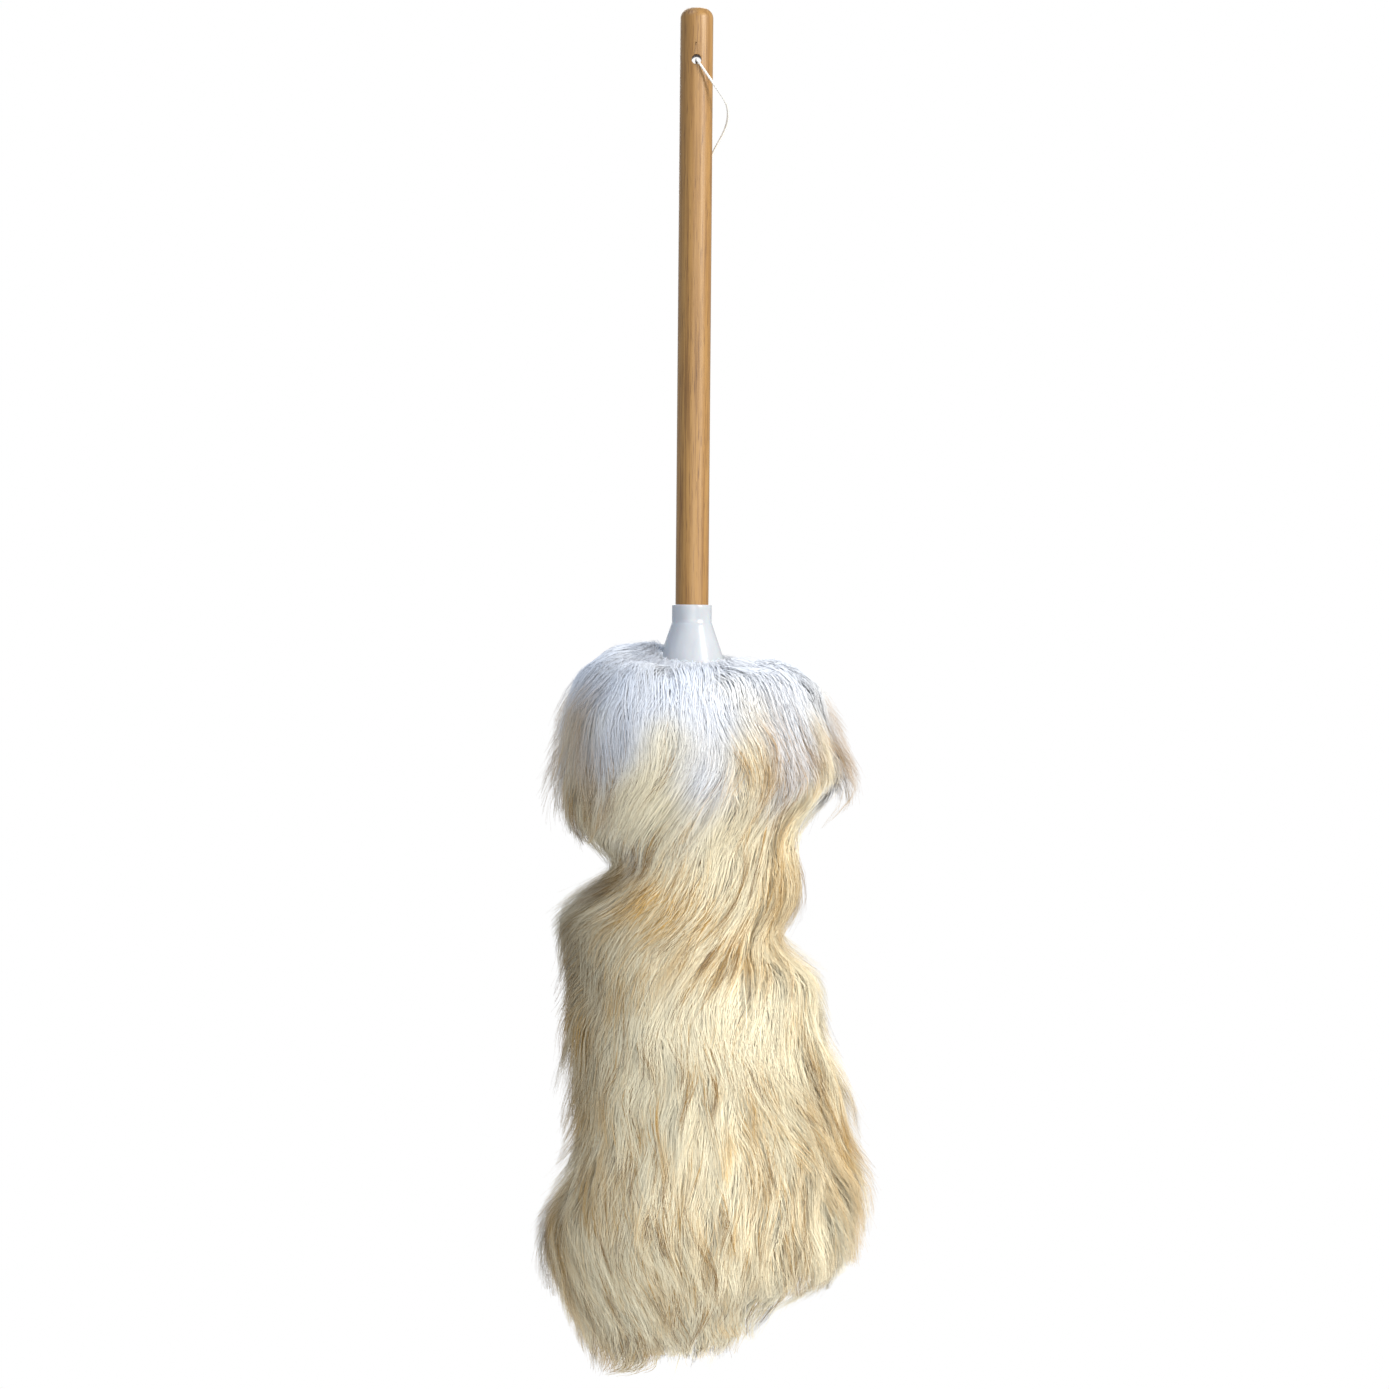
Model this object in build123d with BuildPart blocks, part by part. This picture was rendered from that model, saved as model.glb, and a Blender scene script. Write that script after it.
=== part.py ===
from build123d import *

import os
from math import cos, radians, sin

# Lambswool duster: a wooden dowel handle with a hanging cord, a flared plastic collar, and a head of
# long-haired sheepskin wound in a spiral on the dowel. Millimetres. +Z runs up the handle, Z = 0 is the
# axis of the hanging hole, and that hole runs along Y.

# Handle: one dowel from the domed tip to the middle of the wool head.
handle_radius = 8.0
handle_length = 610.0
tip_z = 25.5
dome_height = 5.2
hang_hole_radius = 2.4
hang_hole_edge = 0.4
handle_end_z = tip_z - handle_length
handle_end_chamfer = 1.0

# Collar: a sleeve that grips the dowel, then a bell that covers the top of the winding.
rim_z = -264.0
sleeve_radius = 9.6
sleeve_length = 9.0
bell_start_radius = 9.8
bell_middle_radius = 14.4
bell_middle_drop = 22.5
bell_end_radius = 21.5
collar_length = 42.0
collar_wall = 1.6
collar_grip_length = 12.0
slip_clearance = 0.05
rim_round = 0.5
collar_end_z = rim_z - collar_length

# Hide: the leather side of the pelt strip, wound on the dowel with a narrow open seam between turns.
hide_thickness = 1.8
hide_inner_radius = handle_radius + slip_clearance
hide_outer_radius = hide_inner_radius + hide_thickness
hide_top_z = rim_z - 28.0
winding_pitch = 62.0
seam_width = 1.4

# Wire staples hold both ends of the strip, with the crown along the dowel.
staple_wire = 0.7
staple_crown_length = 9.0
staple_leg_depth = 6.0
staples_per_end = 3
top_staple_z = hide_top_z - 9.0
bottom_staple_z = handle_end_z + 8.0

# End patch: a small disc of the same pelt that closes the end of the dowel, held by one tack.
patch_radius = 10.0
patch_top_z = handle_end_z - slip_clearance
patch_bottom_z = patch_top_z - hide_thickness
tack_head_radius = 3.5
tack_head_thickness = 0.8
tack_shank_radius = 0.8
tack_shank_length = 16.0

# Collar nail: one small panel nail at the back of the sleeve.
nail_z = rim_z - sleeve_length / 2
nail_head_radius = 1.3
nail_head_thickness = 0.5
nail_shank_radius = 0.6
nail_shank_length = 8.0

# Wool: the outer shape of the head, as elliptical stations (height, centre x, half width x, half depth y).
# The winding gives the head three lobes, a collar skirt, a waist and a bottom skirt, and a tapered tip.
collar_skirt = [
    (-284.5, -3.0, 42.0, 40.0),
    (-300.0, 0.0, 57.0, 54.0),
    (-320.0, 2.0, 69.0, 67.0),
    (-343.0, 5.0, 73.0, 71.0),
    (-366.0, 1.0, 65.0, 65.0),
    (-389.0, 7.0, 51.0, 55.0),
]
waist = [
    (-389.0, 7.0, 51.0, 55.0),
    (-412.0, -5.0, 59.0, 57.0),
    (-436.0, -1.0, 60.0, 59.0),
    (-460.0, 4.0, 64.0, 62.0),
    (-485.0, 8.0, 68.0, 65.0),
]
bottom_skirt = [
    (-485.0, 8.0, 68.0, 65.0),
    (-510.0, 12.0, 71.0, 68.0),
    (-535.0, 12.0, 75.0, 72.0),
    (-560.0, 8.0, 79.0, 75.0),
    (-582.0, 5.0, 77.0, 73.0),
    (-604.0, -4.0, 60.0, 58.0),
]
tip = [
    (-604.0, -4.0, 60.0, 58.0),
    (-634.0, -19.0, 26.0, 25.0),
]
wool_clearance = 0.4
end_wool_radius = 16.0
end_wool_bottom_z = patch_bottom_z - 18.0
end_wool_shoulder = 4.0
end_wool_round = 12.0

# Hanging cord: a loop through the hole, tied with one knot. Its front leg slants across the dowel, turns
# round the right side and comes down behind, where the back leg hangs. The turn is wider than the distance
# from the hole to the tip, so the loop swings over the tip, and every leg in front or behind runs clear.
cord_radius = 0.8
cord_leg_y = 9.05
cord_bend_radius = 2.2
front_leg_angle = 145.0
front_leg_length = 20.0
back_leg_length = 14.0
cord_turn = [(15.4, -3.5, -25.0), (14.0, 6.0, -33.0), (7.5, 10.8, -46.0)]
knot_x = 1.5
knot_y = 11.4
knot_top_z = -60.0
knot_length = 7.0
knot_radius = 2.4
knot_round = 0.9
knot_leg_spread = 1.0
cord_tail_length = 9.0
cord_tail_spread = 2.2


def radial_plane(angle):
    """A plane through the handle's axis whose x runs outwards at this angle and whose y runs up."""
    a = radians(angle)
    return Plane(origin=(0, 0, 0), x_dir=(cos(a), sin(a), 0), z_dir=(sin(a), -cos(a), 0))


def cord_bend(way, side):
    """The cord's quarter bend at one mouth of the hole: its start, its middle and its end."""
    outwards = Vector(0, side, 0)
    start = outwards * (cord_leg_y - cord_bend_radius)
    middle = start + (way + (outwards - way) * sin(radians(45))) * cord_bend_radius
    end = outwards * cord_leg_y + way * cord_bend_radius
    return start, middle, end


def is_circle_of(edge, radius):
    """Whether an edge is a circle of this radius, to within a hundredth of a millimetre."""
    return edge.geom_type == GeomType.CIRCLE and abs(edge.radius - radius) < 0.01


def build_staples(centre_z, first_angle):
    """A ring of staples driven through the hide into the dowel, as separate solids."""
    step = 360.0 / staples_per_end
    crown_radius = hide_outer_radius + staple_wire / 2
    leg_offset = (staple_crown_length - staple_wire) / 2
    with BuildPart() as staples:
        for i in range(staples_per_end):
            with BuildSketch(radial_plane(first_angle + i * step)):
                with Locations((crown_radius, centre_z)):
                    Rectangle(staple_wire, staple_crown_length)
                leg_centre = crown_radius + staple_wire / 2 - staple_leg_depth / 2
                with Locations((leg_centre, centre_z - leg_offset), (leg_centre, centre_z + leg_offset)):
                    Rectangle(staple_leg_depth, staple_wire)
            extrude(amount=staple_wire / 2, both=True)
    return staples


# Top and bottom staples
top_staples = build_staples(top_staple_z, 30.0)
top_staples.part.label = "top_staples"
bottom_staples = build_staples(bottom_staple_z, 75.0)
bottom_staples.part.label = "bottom_staples"

# Collar nail, driven forwards from the back of the sleeve
with BuildPart() as collar_nail:
    with BuildSketch(Plane.XZ.offset(-sleeve_radius)):
        with Locations((0, nail_z)):
            Circle(nail_head_radius)
    extrude(amount=-nail_head_thickness)
    with BuildSketch(Plane.XZ.offset(-sleeve_radius)):
        with Locations((0, nail_z)):
            Circle(nail_shank_radius)
    extrude(amount=nail_shank_length)
collar_nail.part.label = "collar_nail"

# End tack, driven up through the patch into the end grain
with BuildPart() as end_tack:
    with BuildSketch(Plane.XY.offset(patch_bottom_z)):
        Circle(tack_head_radius)
    extrude(amount=-tack_head_thickness)
    with BuildSketch(Plane.XY.offset(patch_bottom_z)):
        Circle(tack_shank_radius)
    extrude(amount=tack_shank_length)
end_tack.part.label = "end_tack"

# Handle: the dowel with a domed tip, the cross hole and the holes that the fixings make
with BuildPart() as handle:
    with BuildSketch(Plane.XY.offset(handle_end_z)):
        Circle(handle_radius)
    extrude(amount=handle_length)
    fillet(handle.edges().group_by(Axis.Z)[-1], dome_height)
    chamfer(handle.edges().group_by(Axis.Z)[0], handle_end_chamfer)
    body_edges = handle.edges()
    with BuildSketch(Plane.XZ):
        Circle(hang_hole_radius)
    extrude(amount=handle_radius * 2, both=True, mode=Mode.SUBTRACT)
    hole_rims = [edge for edge in handle.edges() - body_edges if abs(edge.center().Y) > handle_radius / 2]
    fillet(hole_rims, hang_hole_edge)
    for fixing in (top_staples, bottom_staples, collar_nail, end_tack):
        add(fixing.part, mode=Mode.SUBTRACT)
handle.part.label = "handle"

# Collar: a hollow turned shape, open at both ends
with BuildPart() as collar:
    with BuildSketch(Plane.XZ):
        with BuildLine():
            bore = handle_radius + slip_clearance
            bell_start_z = rim_z - sleeve_length
            bell_middle_z = rim_z - bell_middle_drop
            grip_end_z = rim_z - collar_grip_length
            Line((bore, rim_z), (sleeve_radius, rim_z))
            Line((sleeve_radius, rim_z), (sleeve_radius, bell_start_z))
            Line((sleeve_radius, bell_start_z), (bell_start_radius, bell_start_z))
            ThreePointArc(
                (bell_start_radius, bell_start_z),
                (bell_middle_radius, bell_middle_z),
                (bell_end_radius, collar_end_z),
            )
            Line((bell_end_radius, collar_end_z), (bell_end_radius - collar_wall, collar_end_z))
            ThreePointArc(
                (bell_end_radius - collar_wall, collar_end_z),
                (bell_middle_radius - collar_wall, bell_middle_z),
                (bore, grip_end_z),
            )
            Line((bore, grip_end_z), (bore, rim_z))
        make_face()
    revolve(axis=Axis.Z)
    fillet(collar.edges().group_by(Axis.Z)[-1].sort_by(SortBy.LENGTH)[-1], rim_round)
    add(collar_nail.part, mode=Mode.SUBTRACT)
collar.part.label = "collar"

# Hide strip: a sleeve opened along a spiral seam, which leaves one continuous wound strip
seam_overrun = 10.0
with BuildPart() as seam_cutter:
    with BuildLine():
        seam_path = Helix(
            pitch=winding_pitch,
            height=hide_top_z - handle_end_z + 2 * seam_overrun,
            radius=hide_inner_radius + hide_thickness / 2,
            center=(0, 0, handle_end_z - seam_overrun),
        )
    with BuildSketch(Plane(origin=seam_path @ 0, x_dir=(1, 0, 0), z_dir=seam_path % 0)):
        Rectangle(hide_thickness * 2, seam_width)
    sweep(is_frenet=True)
with BuildPart() as hide_strip:
    with BuildSketch(Plane.XY.offset(handle_end_z)):
        Circle(hide_outer_radius)
        Circle(hide_inner_radius, mode=Mode.SUBTRACT)
    extrude(amount=hide_top_z - handle_end_z)
    for cutter in (seam_cutter, top_staples, bottom_staples):
        add(cutter.part, mode=Mode.SUBTRACT)
hide_strip.part.label = "hide_strip"

# End patch: the hide disc on the end of the dowel
with BuildPart() as end_patch_hide:
    with BuildSketch(Plane.XY.offset(patch_bottom_z)):
        Circle(patch_radius)
    extrude(amount=hide_thickness)
    add(end_tack.part, mode=Mode.SUBTRACT)
end_patch_hide.part.label = "end_patch_hide"

# End patch wool: the tuft below the disc
with BuildPart() as end_patch_wool:
    with BuildSketch(Plane.XY.offset(end_wool_bottom_z)):
        Circle(end_wool_radius)
    extrude(amount=patch_bottom_z - tack_head_thickness - wool_clearance - end_wool_bottom_z)
    fillet(end_patch_wool.edges().group_by(Axis.Z)[-1], end_wool_shoulder)
    fillet(end_patch_wool.edges().group_by(Axis.Z)[0], end_wool_round)
end_patch_wool.part.label = "end_patch_wool"

# Wool pile: the head's outer shape, hollowed for the collar's bell, the winding and the end tuft
with BuildPart() as wool_pile:
    for lobe in (collar_skirt, waist, bottom_skirt, tip):
        for height, centre_x, half_x, half_y in lobe:
            with BuildSketch(Plane.XY.offset(height)):
                with Locations((centre_x, 0)):
                    Ellipse(half_x, half_y)
        loft()
    with BuildSketch(Plane.XZ):
        with BuildLine():
            core_radius = hide_outer_radius + staple_wire + wool_clearance
            tuft_radius = end_wool_radius + wool_clearance
            cavity_top_z = rim_z - sleeve_length
            cavity_floor_z = end_wool_bottom_z - wool_clearance
            tuft_top_z = patch_top_z + wool_clearance
            Line((0, cavity_top_z), (bell_start_radius + wool_clearance, cavity_top_z))
            ThreePointArc(
                (bell_start_radius + wool_clearance, cavity_top_z),
                (bell_middle_radius + wool_clearance, rim_z - bell_middle_drop),
                (bell_end_radius + wool_clearance, collar_end_z),
            )
            Polyline(
                (bell_end_radius + wool_clearance, collar_end_z),
                (bell_end_radius + wool_clearance, collar_end_z - wool_clearance),
                (core_radius, collar_end_z - wool_clearance),
                (core_radius, tuft_top_z),
                (tuft_radius, tuft_top_z),
                (tuft_radius, cavity_floor_z),
                (0, cavity_floor_z),
                (0, cavity_top_z),
            )
        make_face()
    revolve(axis=Axis.Z, mode=Mode.SUBTRACT)
wool_pile.part.label = "wool_pile"

# Hanging cord: from the knot up the back leg, through the hole, and round the front leg to the knot
slant = radians(front_leg_angle)
front_way = Vector(sin(slant), 0, cos(slant))
back_way = Vector(0, 0, -1)
back_mouth, back_bend, back_leg = cord_bend(back_way, 1)
front_mouth, front_bend, front_leg = cord_bend(front_way, -1)
back_leg_end = back_leg + back_way * back_leg_length
front_leg_end = front_leg + front_way * front_leg_length
knot_bottom_z = knot_top_z - knot_length
with BuildPart() as hanging_cord:
    with BuildLine() as cord_path:
        Spline(
            (knot_x - knot_leg_spread, knot_y, knot_top_z - knot_leg_spread),
            back_leg_end,
            tangents=[(0, 0, 1), (0, 0, 1)],
        )
        Line(back_leg_end, back_leg)
        ThreePointArc(back_leg, back_bend, back_mouth)
        Line(back_mouth, front_mouth)
        ThreePointArc(front_mouth, front_bend, front_leg)
        Line(front_leg, front_leg_end)
        Spline(
            front_leg_end,
            *cord_turn,
            (knot_x + knot_leg_spread, knot_y, knot_top_z - knot_leg_spread),
            tangents=[front_way, (0, 0, -1)],
        )
    with BuildSketch(Plane(origin=cord_path.line @ 0, z_dir=cord_path.line % 0)):
        Circle(cord_radius)
    sweep()
    with BuildSketch(Plane.XY.offset(knot_bottom_z)):
        with Locations((knot_x, knot_y)):
            Circle(knot_radius)
    extrude(amount=knot_length)
    knot_rims = hanging_cord.edges().filter_by(lambda edge: is_circle_of(edge, knot_radius))
    fillet(knot_rims, knot_round)
    for side in (-1, 1):
        with BuildLine() as tail_path:
            Line(
                (knot_x + side * cord_radius / 2, knot_y, knot_bottom_z + knot_length / 2),
                (knot_x + side * cord_tail_spread, knot_y, knot_bottom_z - cord_tail_length),
            )
        with BuildSketch(Plane(origin=tail_path.line @ 0, z_dir=tail_path.line % 0)):
            Circle(cord_radius)
        sweep(path=tail_path.line)
hanging_cord.part.label = "hanging_cord"

os.makedirs("parts", exist_ok=True)
pieces = (
    handle,
    collar,
    collar_nail,
    hide_strip,
    top_staples,
    bottom_staples,
    end_patch_hide,
    end_patch_wool,
    end_tack,
    wool_pile,
    hanging_cord,
)
for piece in pieces:
    export_step(piece.part, f"parts/{piece.part.label}.step")
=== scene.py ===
import math

import bmesh
import bpy
import numpy as np
from mathutils import Matrix, Vector
from mathutils.bvhtree import BVHTree


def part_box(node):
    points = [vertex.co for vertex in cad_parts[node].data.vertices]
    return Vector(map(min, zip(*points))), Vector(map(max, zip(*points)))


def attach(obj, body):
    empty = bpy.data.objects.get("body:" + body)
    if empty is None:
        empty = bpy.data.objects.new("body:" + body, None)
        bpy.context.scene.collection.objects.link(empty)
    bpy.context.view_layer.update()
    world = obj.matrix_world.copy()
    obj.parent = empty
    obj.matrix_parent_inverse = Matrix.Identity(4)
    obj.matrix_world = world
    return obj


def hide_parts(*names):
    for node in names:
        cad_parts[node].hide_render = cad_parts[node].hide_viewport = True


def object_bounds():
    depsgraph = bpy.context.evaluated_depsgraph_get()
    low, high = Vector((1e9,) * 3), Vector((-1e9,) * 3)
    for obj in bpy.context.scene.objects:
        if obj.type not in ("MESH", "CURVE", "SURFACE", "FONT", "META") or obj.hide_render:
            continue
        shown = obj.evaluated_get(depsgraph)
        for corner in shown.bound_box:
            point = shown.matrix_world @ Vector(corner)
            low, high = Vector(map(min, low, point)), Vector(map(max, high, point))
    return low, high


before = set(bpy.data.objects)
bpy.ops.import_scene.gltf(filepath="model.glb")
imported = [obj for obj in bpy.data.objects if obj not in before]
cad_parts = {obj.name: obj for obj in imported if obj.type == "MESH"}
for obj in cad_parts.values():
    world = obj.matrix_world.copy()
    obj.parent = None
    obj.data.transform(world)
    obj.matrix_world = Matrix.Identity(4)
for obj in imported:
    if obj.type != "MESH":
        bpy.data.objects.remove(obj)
size_of_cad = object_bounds()

# Lengths in the groom and in the hard parts are millimetres; the meshes are made in metres.
MM = 0.001
SEED = 20
rng = np.random.default_rng(SEED)

BODY_DUSTER = "duster"
BODY_CORD = "cord"

# Radius that stands for the axis in a lathe's profile, and how close points are merged, in millimetres.
ON_AXIS = 0.0001
MERGE_DISTANCE = 0.001


# ---------------------------------------------------------------- small helpers

def box_mm(node):
    """Lowest and highest corner of a CAD node, in millimetres."""
    low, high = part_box(node)
    return np.array(low) / MM, np.array(high) / MM


def smoothstep(edge0, edge1, x):
    t = np.clip((x - edge0) / (edge1 - edge0), 0.0, 1.0)
    return t * t * (3.0 - 2.0 * t)


def hill(u, v):
    """A smooth hill of height 1 over two distances that are given in its own half widths."""
    return np.exp(-0.5 * (u ** 2 + v ** 2))


def around(count):
    """Evenly spaced angles of one full turn."""
    return np.arange(count) * 2 * math.pi / count


def from_polar(radius, angle, z):
    """Points from radius, angle and height; each may be a number or an array."""
    radius, angle, z = np.broadcast_arrays(radius, angle, z)
    return np.stack([radius * np.cos(angle), radius * np.sin(angle), z], -1)


def link_object(name, data):
    obj = bpy.data.objects.new(name, data)
    bpy.context.scene.collection.objects.link(obj)
    return obj


def new_mesh(name, verts_mm, faces, material):
    """A smooth object from vertices in millimetres and a list of faces."""
    mesh = bpy.data.meshes.new(name)
    mesh.from_pydata([tuple(v) for v in np.asarray(verts_mm) * MM], [], faces)
    mesh.validate()
    mesh.polygons.foreach_set("use_smooth", [True] * len(mesh.polygons))
    mesh.materials.append(material)
    return link_object(name, mesh)


def make_active(obj):
    bpy.ops.object.select_all(action="DESELECT")
    obj.select_set(True)
    bpy.context.view_layer.objects.active = obj


def lathe_faces(rings, segments, closed_profile=False):
    """Quads between neighbouring rings of a lathe, and from the last ring to the first if it is closed."""
    faces = []
    for i in range(rings if closed_profile else rings - 1):
        j = (i + 1) % rings
        for k in range(segments):
            m = (k + 1) % segments
            faces.append((i * segments + k, i * segments + m, j * segments + m, j * segments + k))
    return faces


def lathe_rings(profile, segments):
    """Vertices of a profile of (radius, z) turned about the Z axis."""
    return np.concatenate([from_polar(radius, around(segments), z) for radius, z in profile])


def lathe(name, profile, segments, material, closed_profile=False):
    faces = lathe_faces(len(profile), segments, closed_profile)
    obj = new_mesh(name, lathe_rings(profile, segments), faces, material)
    merge_close(obj, MERGE_DISTANCE)
    return obj


def merge_close(obj, distance_mm):
    mesh = bmesh.new()
    mesh.from_mesh(obj.data)
    bmesh.ops.remove_doubles(mesh, verts=mesh.verts, dist=distance_mm * MM)
    bmesh.ops.recalc_face_normals(mesh, faces=mesh.faces)
    mesh.to_mesh(obj.data)
    mesh.free()


def round_off(radius, top, size, steps):
    """A rounded upper edge of a lathe's profile, from below its start up to the top."""
    turn = np.linspace(0, math.pi / 2, steps)[1:]
    return list(zip(radius - size + size * np.cos(turn), top - size + size * np.sin(turn)))


def arc_through(a, b, c, steps):
    """Points on the circular arc from a to c through b, in the plane of (radius, z)."""
    a, b, c = (complex(*point) for point in (a, b, c))
    w = (c - a) / (b - a)
    centre = a + (b - a) * (w - abs(w) ** 2) / (2j * w.imag)
    sweep = np.angle((c - centre) / (a - centre))
    points = centre + (a - centre) * np.exp(1j * sweep * np.linspace(0, 1, steps))
    return [(point.real, point.imag) for point in points]


def smooth_by_angle(obj, degrees):
    """Smooth shading with sharp edges where the faces meet at more than this angle."""
    make_active(obj)
    bpy.ops.object.shade_smooth_by_angle(angle=math.radians(degrees))


# ---------------------------------------------------------------- materials

class Nodes:
    """A short way to build a node tree around one Principled shader."""

    def __init__(self, name):
        self.material = bpy.data.materials.new(name)
        self.material.use_nodes = True
        self.tree = self.material.node_tree
        self.shader = self.tree.nodes["Principled BSDF"]

    def add(self, kind, **values):
        node = self.tree.nodes.new(kind)
        for key, value in values.items():
            if hasattr(node, key):
                setattr(node, key, value)
            else:
                node.inputs[key.replace("_", " ")].default_value = value
        return node

    def link(self, source, target):
        self.tree.links.new(source, target)

    def object_point(self, scale):
        coords = self.add("ShaderNodeTexCoord")
        mapping = self.add("ShaderNodeMapping")
        mapping.inputs["Scale"].default_value = scale
        self.link(coords.outputs["Object"], mapping.inputs["Vector"])
        return mapping.outputs["Vector"]

    def noise(self, point, scale, detail=3.0, roughness=0.55):
        node = self.add("ShaderNodeTexNoise", Scale=scale, Detail=detail, Roughness=roughness)
        self.link(point, node.inputs["Vector"])
        return node.outputs["Fac"]

    def ramp(self, factor, stops):
        node = self.add("ShaderNodeValToRGB")
        ramp = node.color_ramp
        while len(ramp.elements) < len(stops):
            ramp.elements.new(0.5)
        for element, (position, colour) in zip(ramp.elements, stops):
            element.position = position
            element.color = (*colour, 1.0)
        self.link(factor, node.inputs["Fac"])
        return node.outputs["Color"]

    def remap(self, value, low, high, new_low, new_high):
        node = self.add("ShaderNodeMapRange")
        for key, number in (("From Min", low), ("From Max", high), ("To Min", new_low), ("To Max", new_high)):
            node.inputs[key].default_value = number
        self.link(value, node.inputs["Value"])
        return node.outputs["Result"]

    def feed(self, socket, value):
        """Gives a socket a number, a colour or a link."""
        if isinstance(value, (int, float)):
            socket.default_value = value
        elif isinstance(value, tuple):
            socket.default_value = (*value, 1.0) if len(value) == 3 else value
        else:
            self.link(value, socket)

    def maths(self, operation, a, b):
        node = self.add("ShaderNodeMath", operation=operation)
        for socket, value in zip(node.inputs, (a, b)):
            self.feed(socket, value)
        return node.outputs["Value"]

    def mix(self, factor, a, b, blend="MIX"):
        node = self.add("ShaderNodeMix", data_type="RGBA", blend_type=blend)
        for index, value in ((0, factor), (6, a), (7, b)):
            self.feed(node.inputs[index], value)
        return node.outputs[2]

    def bump(self, height, strength, distance):
        node = self.add("ShaderNodeBump", Strength=strength, Distance=distance)
        self.link(height, node.inputs["Height"])
        self.link(node.outputs["Normal"], self.shader.inputs["Normal"])

    def attribute(self, name):
        return self.add("ShaderNodeAttribute", attribute_name=name).outputs["Fac"]

    def set(self, **values):
        for key, value in values.items():
            self.feed(self.shader.inputs[key.replace("_", " ")], value)


def srgb(r, g, b):
    """A colour given as 0-255 sRGB, as linear light."""
    return tuple((c / 255 / 12.92) if c / 255 <= 0.04045 else ((c / 255 + 0.055) / 1.055) ** 2.4
                 for c in (r, g, b))


def wood_material():
    n = Nodes("handle_wood_look")
    along = n.object_point((1.0, 1.0, 0.02))
    wide = n.object_point((1.0, 0.35, 0.045))
    pores_at = n.object_point((1.0, 1.0, 0.035))
    figure = n.noise(wide, 190.0, 2.0, 0.5)
    grain = n.noise(along, 760.0, 4.0, 0.6)
    blotch = n.noise(n.object_point((1.0, 1.0, 0.25)), 26.0, 2.0)
    pores = n.noise(pores_at, 2600.0, 1.0)
    base = n.ramp(figure, [(0.30, srgb(128, 89, 44)), (0.48, srgb(156, 116, 62)), (0.66, srgb(170, 130, 74))])
    streaks = n.ramp(grain, [(0.34, srgb(98, 64, 29)), (0.52, srgb(160, 120, 66)), (0.75, srgb(172, 134, 79))])
    colour = n.mix(0.6, base, streaks)
    colour = n.mix(n.remap(blotch, 0.45, 0.72, 0.0, 0.4), colour, srgb(142, 100, 50))
    colour = n.mix(n.remap(pores, 0.60, 0.70, 0.0, 0.7), colour, srgb(98, 66, 36))
    n.set(Base_Color=colour, Roughness=n.remap(grain, 0.3, 0.7, 0.52, 0.4), Coat_Weight=0.12,
          Coat_Roughness=0.3)
    n.bump(n.maths("ADD", grain, n.maths("MULTIPLY", pores, -0.6)), 0.25, 0.0001)
    return n.material


def plastic_material():
    n = Nodes("collar_plastic_look")
    point = n.object_point((1.0, 1.0, 1.0))
    flow = n.noise(n.object_point((1.0, 1.0, 0.3)), 160.0, 2.0)
    fine = n.noise(point, 1500.0, 2.0)
    colour = n.ramp(flow, [(0.3, (0.44, 0.46, 0.495)), (0.7, (0.49, 0.51, 0.54))])
    n.set(Base_Color=colour, Roughness=n.remap(fine, 0.3, 0.7, 0.17, 0.27), Subsurface_Weight=0.15,
          Subsurface_Scale=0.002, IOR=1.49)
    n.bump(flow, 0.08, 0.0002)
    return n.material


def steel_material():
    n = Nodes("fixing_steel_look")
    brushed = n.noise(n.object_point((1.0, 1.0, 0.1)), 2500.0, 2.0)
    colour = n.ramp(brushed, [(0.3, (0.46, 0.46, 0.47)), (0.7, (0.63, 0.63, 0.64))])
    n.set(Base_Color=colour, Metallic=1.0, Roughness=n.remap(brushed, 0.3, 0.7, 0.28, 0.45))
    n.bump(brushed, 0.2, 0.00005)
    return n.material


def hide_material():
    n = Nodes("hide_look")
    point = n.object_point((1.0, 1.0, 1.0))
    creases = n.noise(point, 420.0, 4.0, 0.65)
    stains = n.noise(point, 60.0, 2.0)
    colour = n.ramp(stains, [(0.3, srgb(214, 200, 172)), (0.7, srgb(233, 224, 204))])
    colour = n.mix(n.remap(creases, 0.55, 0.75, 0.0, 0.35), colour, srgb(176, 152, 116))
    n.set(Base_Color=colour, Roughness=n.remap(creases, 0.3, 0.7, 0.7, 0.88))
    n.bump(creases, 0.5, 0.0004)
    return n.material


def cord_material():
    n = Nodes("cord_look")
    point = n.object_point((1.0, 1.0, 1.0))
    fibre = n.noise(point, 5200.0, 3.0)
    soil = n.noise(point, 240.0, 2.0)
    colour = n.ramp(fibre, [(0.3, srgb(214, 211, 203)), (0.7, srgb(243, 242, 238))])
    colour = n.mix(n.remap(soil, 0.5, 0.75, 0.0, 0.25), colour, srgb(201, 191, 170))
    n.set(Base_Color=colour, Roughness=n.remap(fibre, 0.3, 0.7, 0.75, 0.9), Sheen_Weight=0.2)
    n.bump(fibre, 0.4, 0.0001)
    return n.material


# Painted shade: the white is darkened and tinted cool blue, as the crown looks under the sky light; cream,
# honey and brown are the wool's own colours.
WOOL_WHITE_PAINTED_SKY_SHADE = srgb(229, 235, 247)
WOOL_CREAM = srgb(254, 243, 209)
WOOL_HONEY = srgb(218, 172, 88)
WOOL_BROWN = srgb(94, 61, 27)


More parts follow.
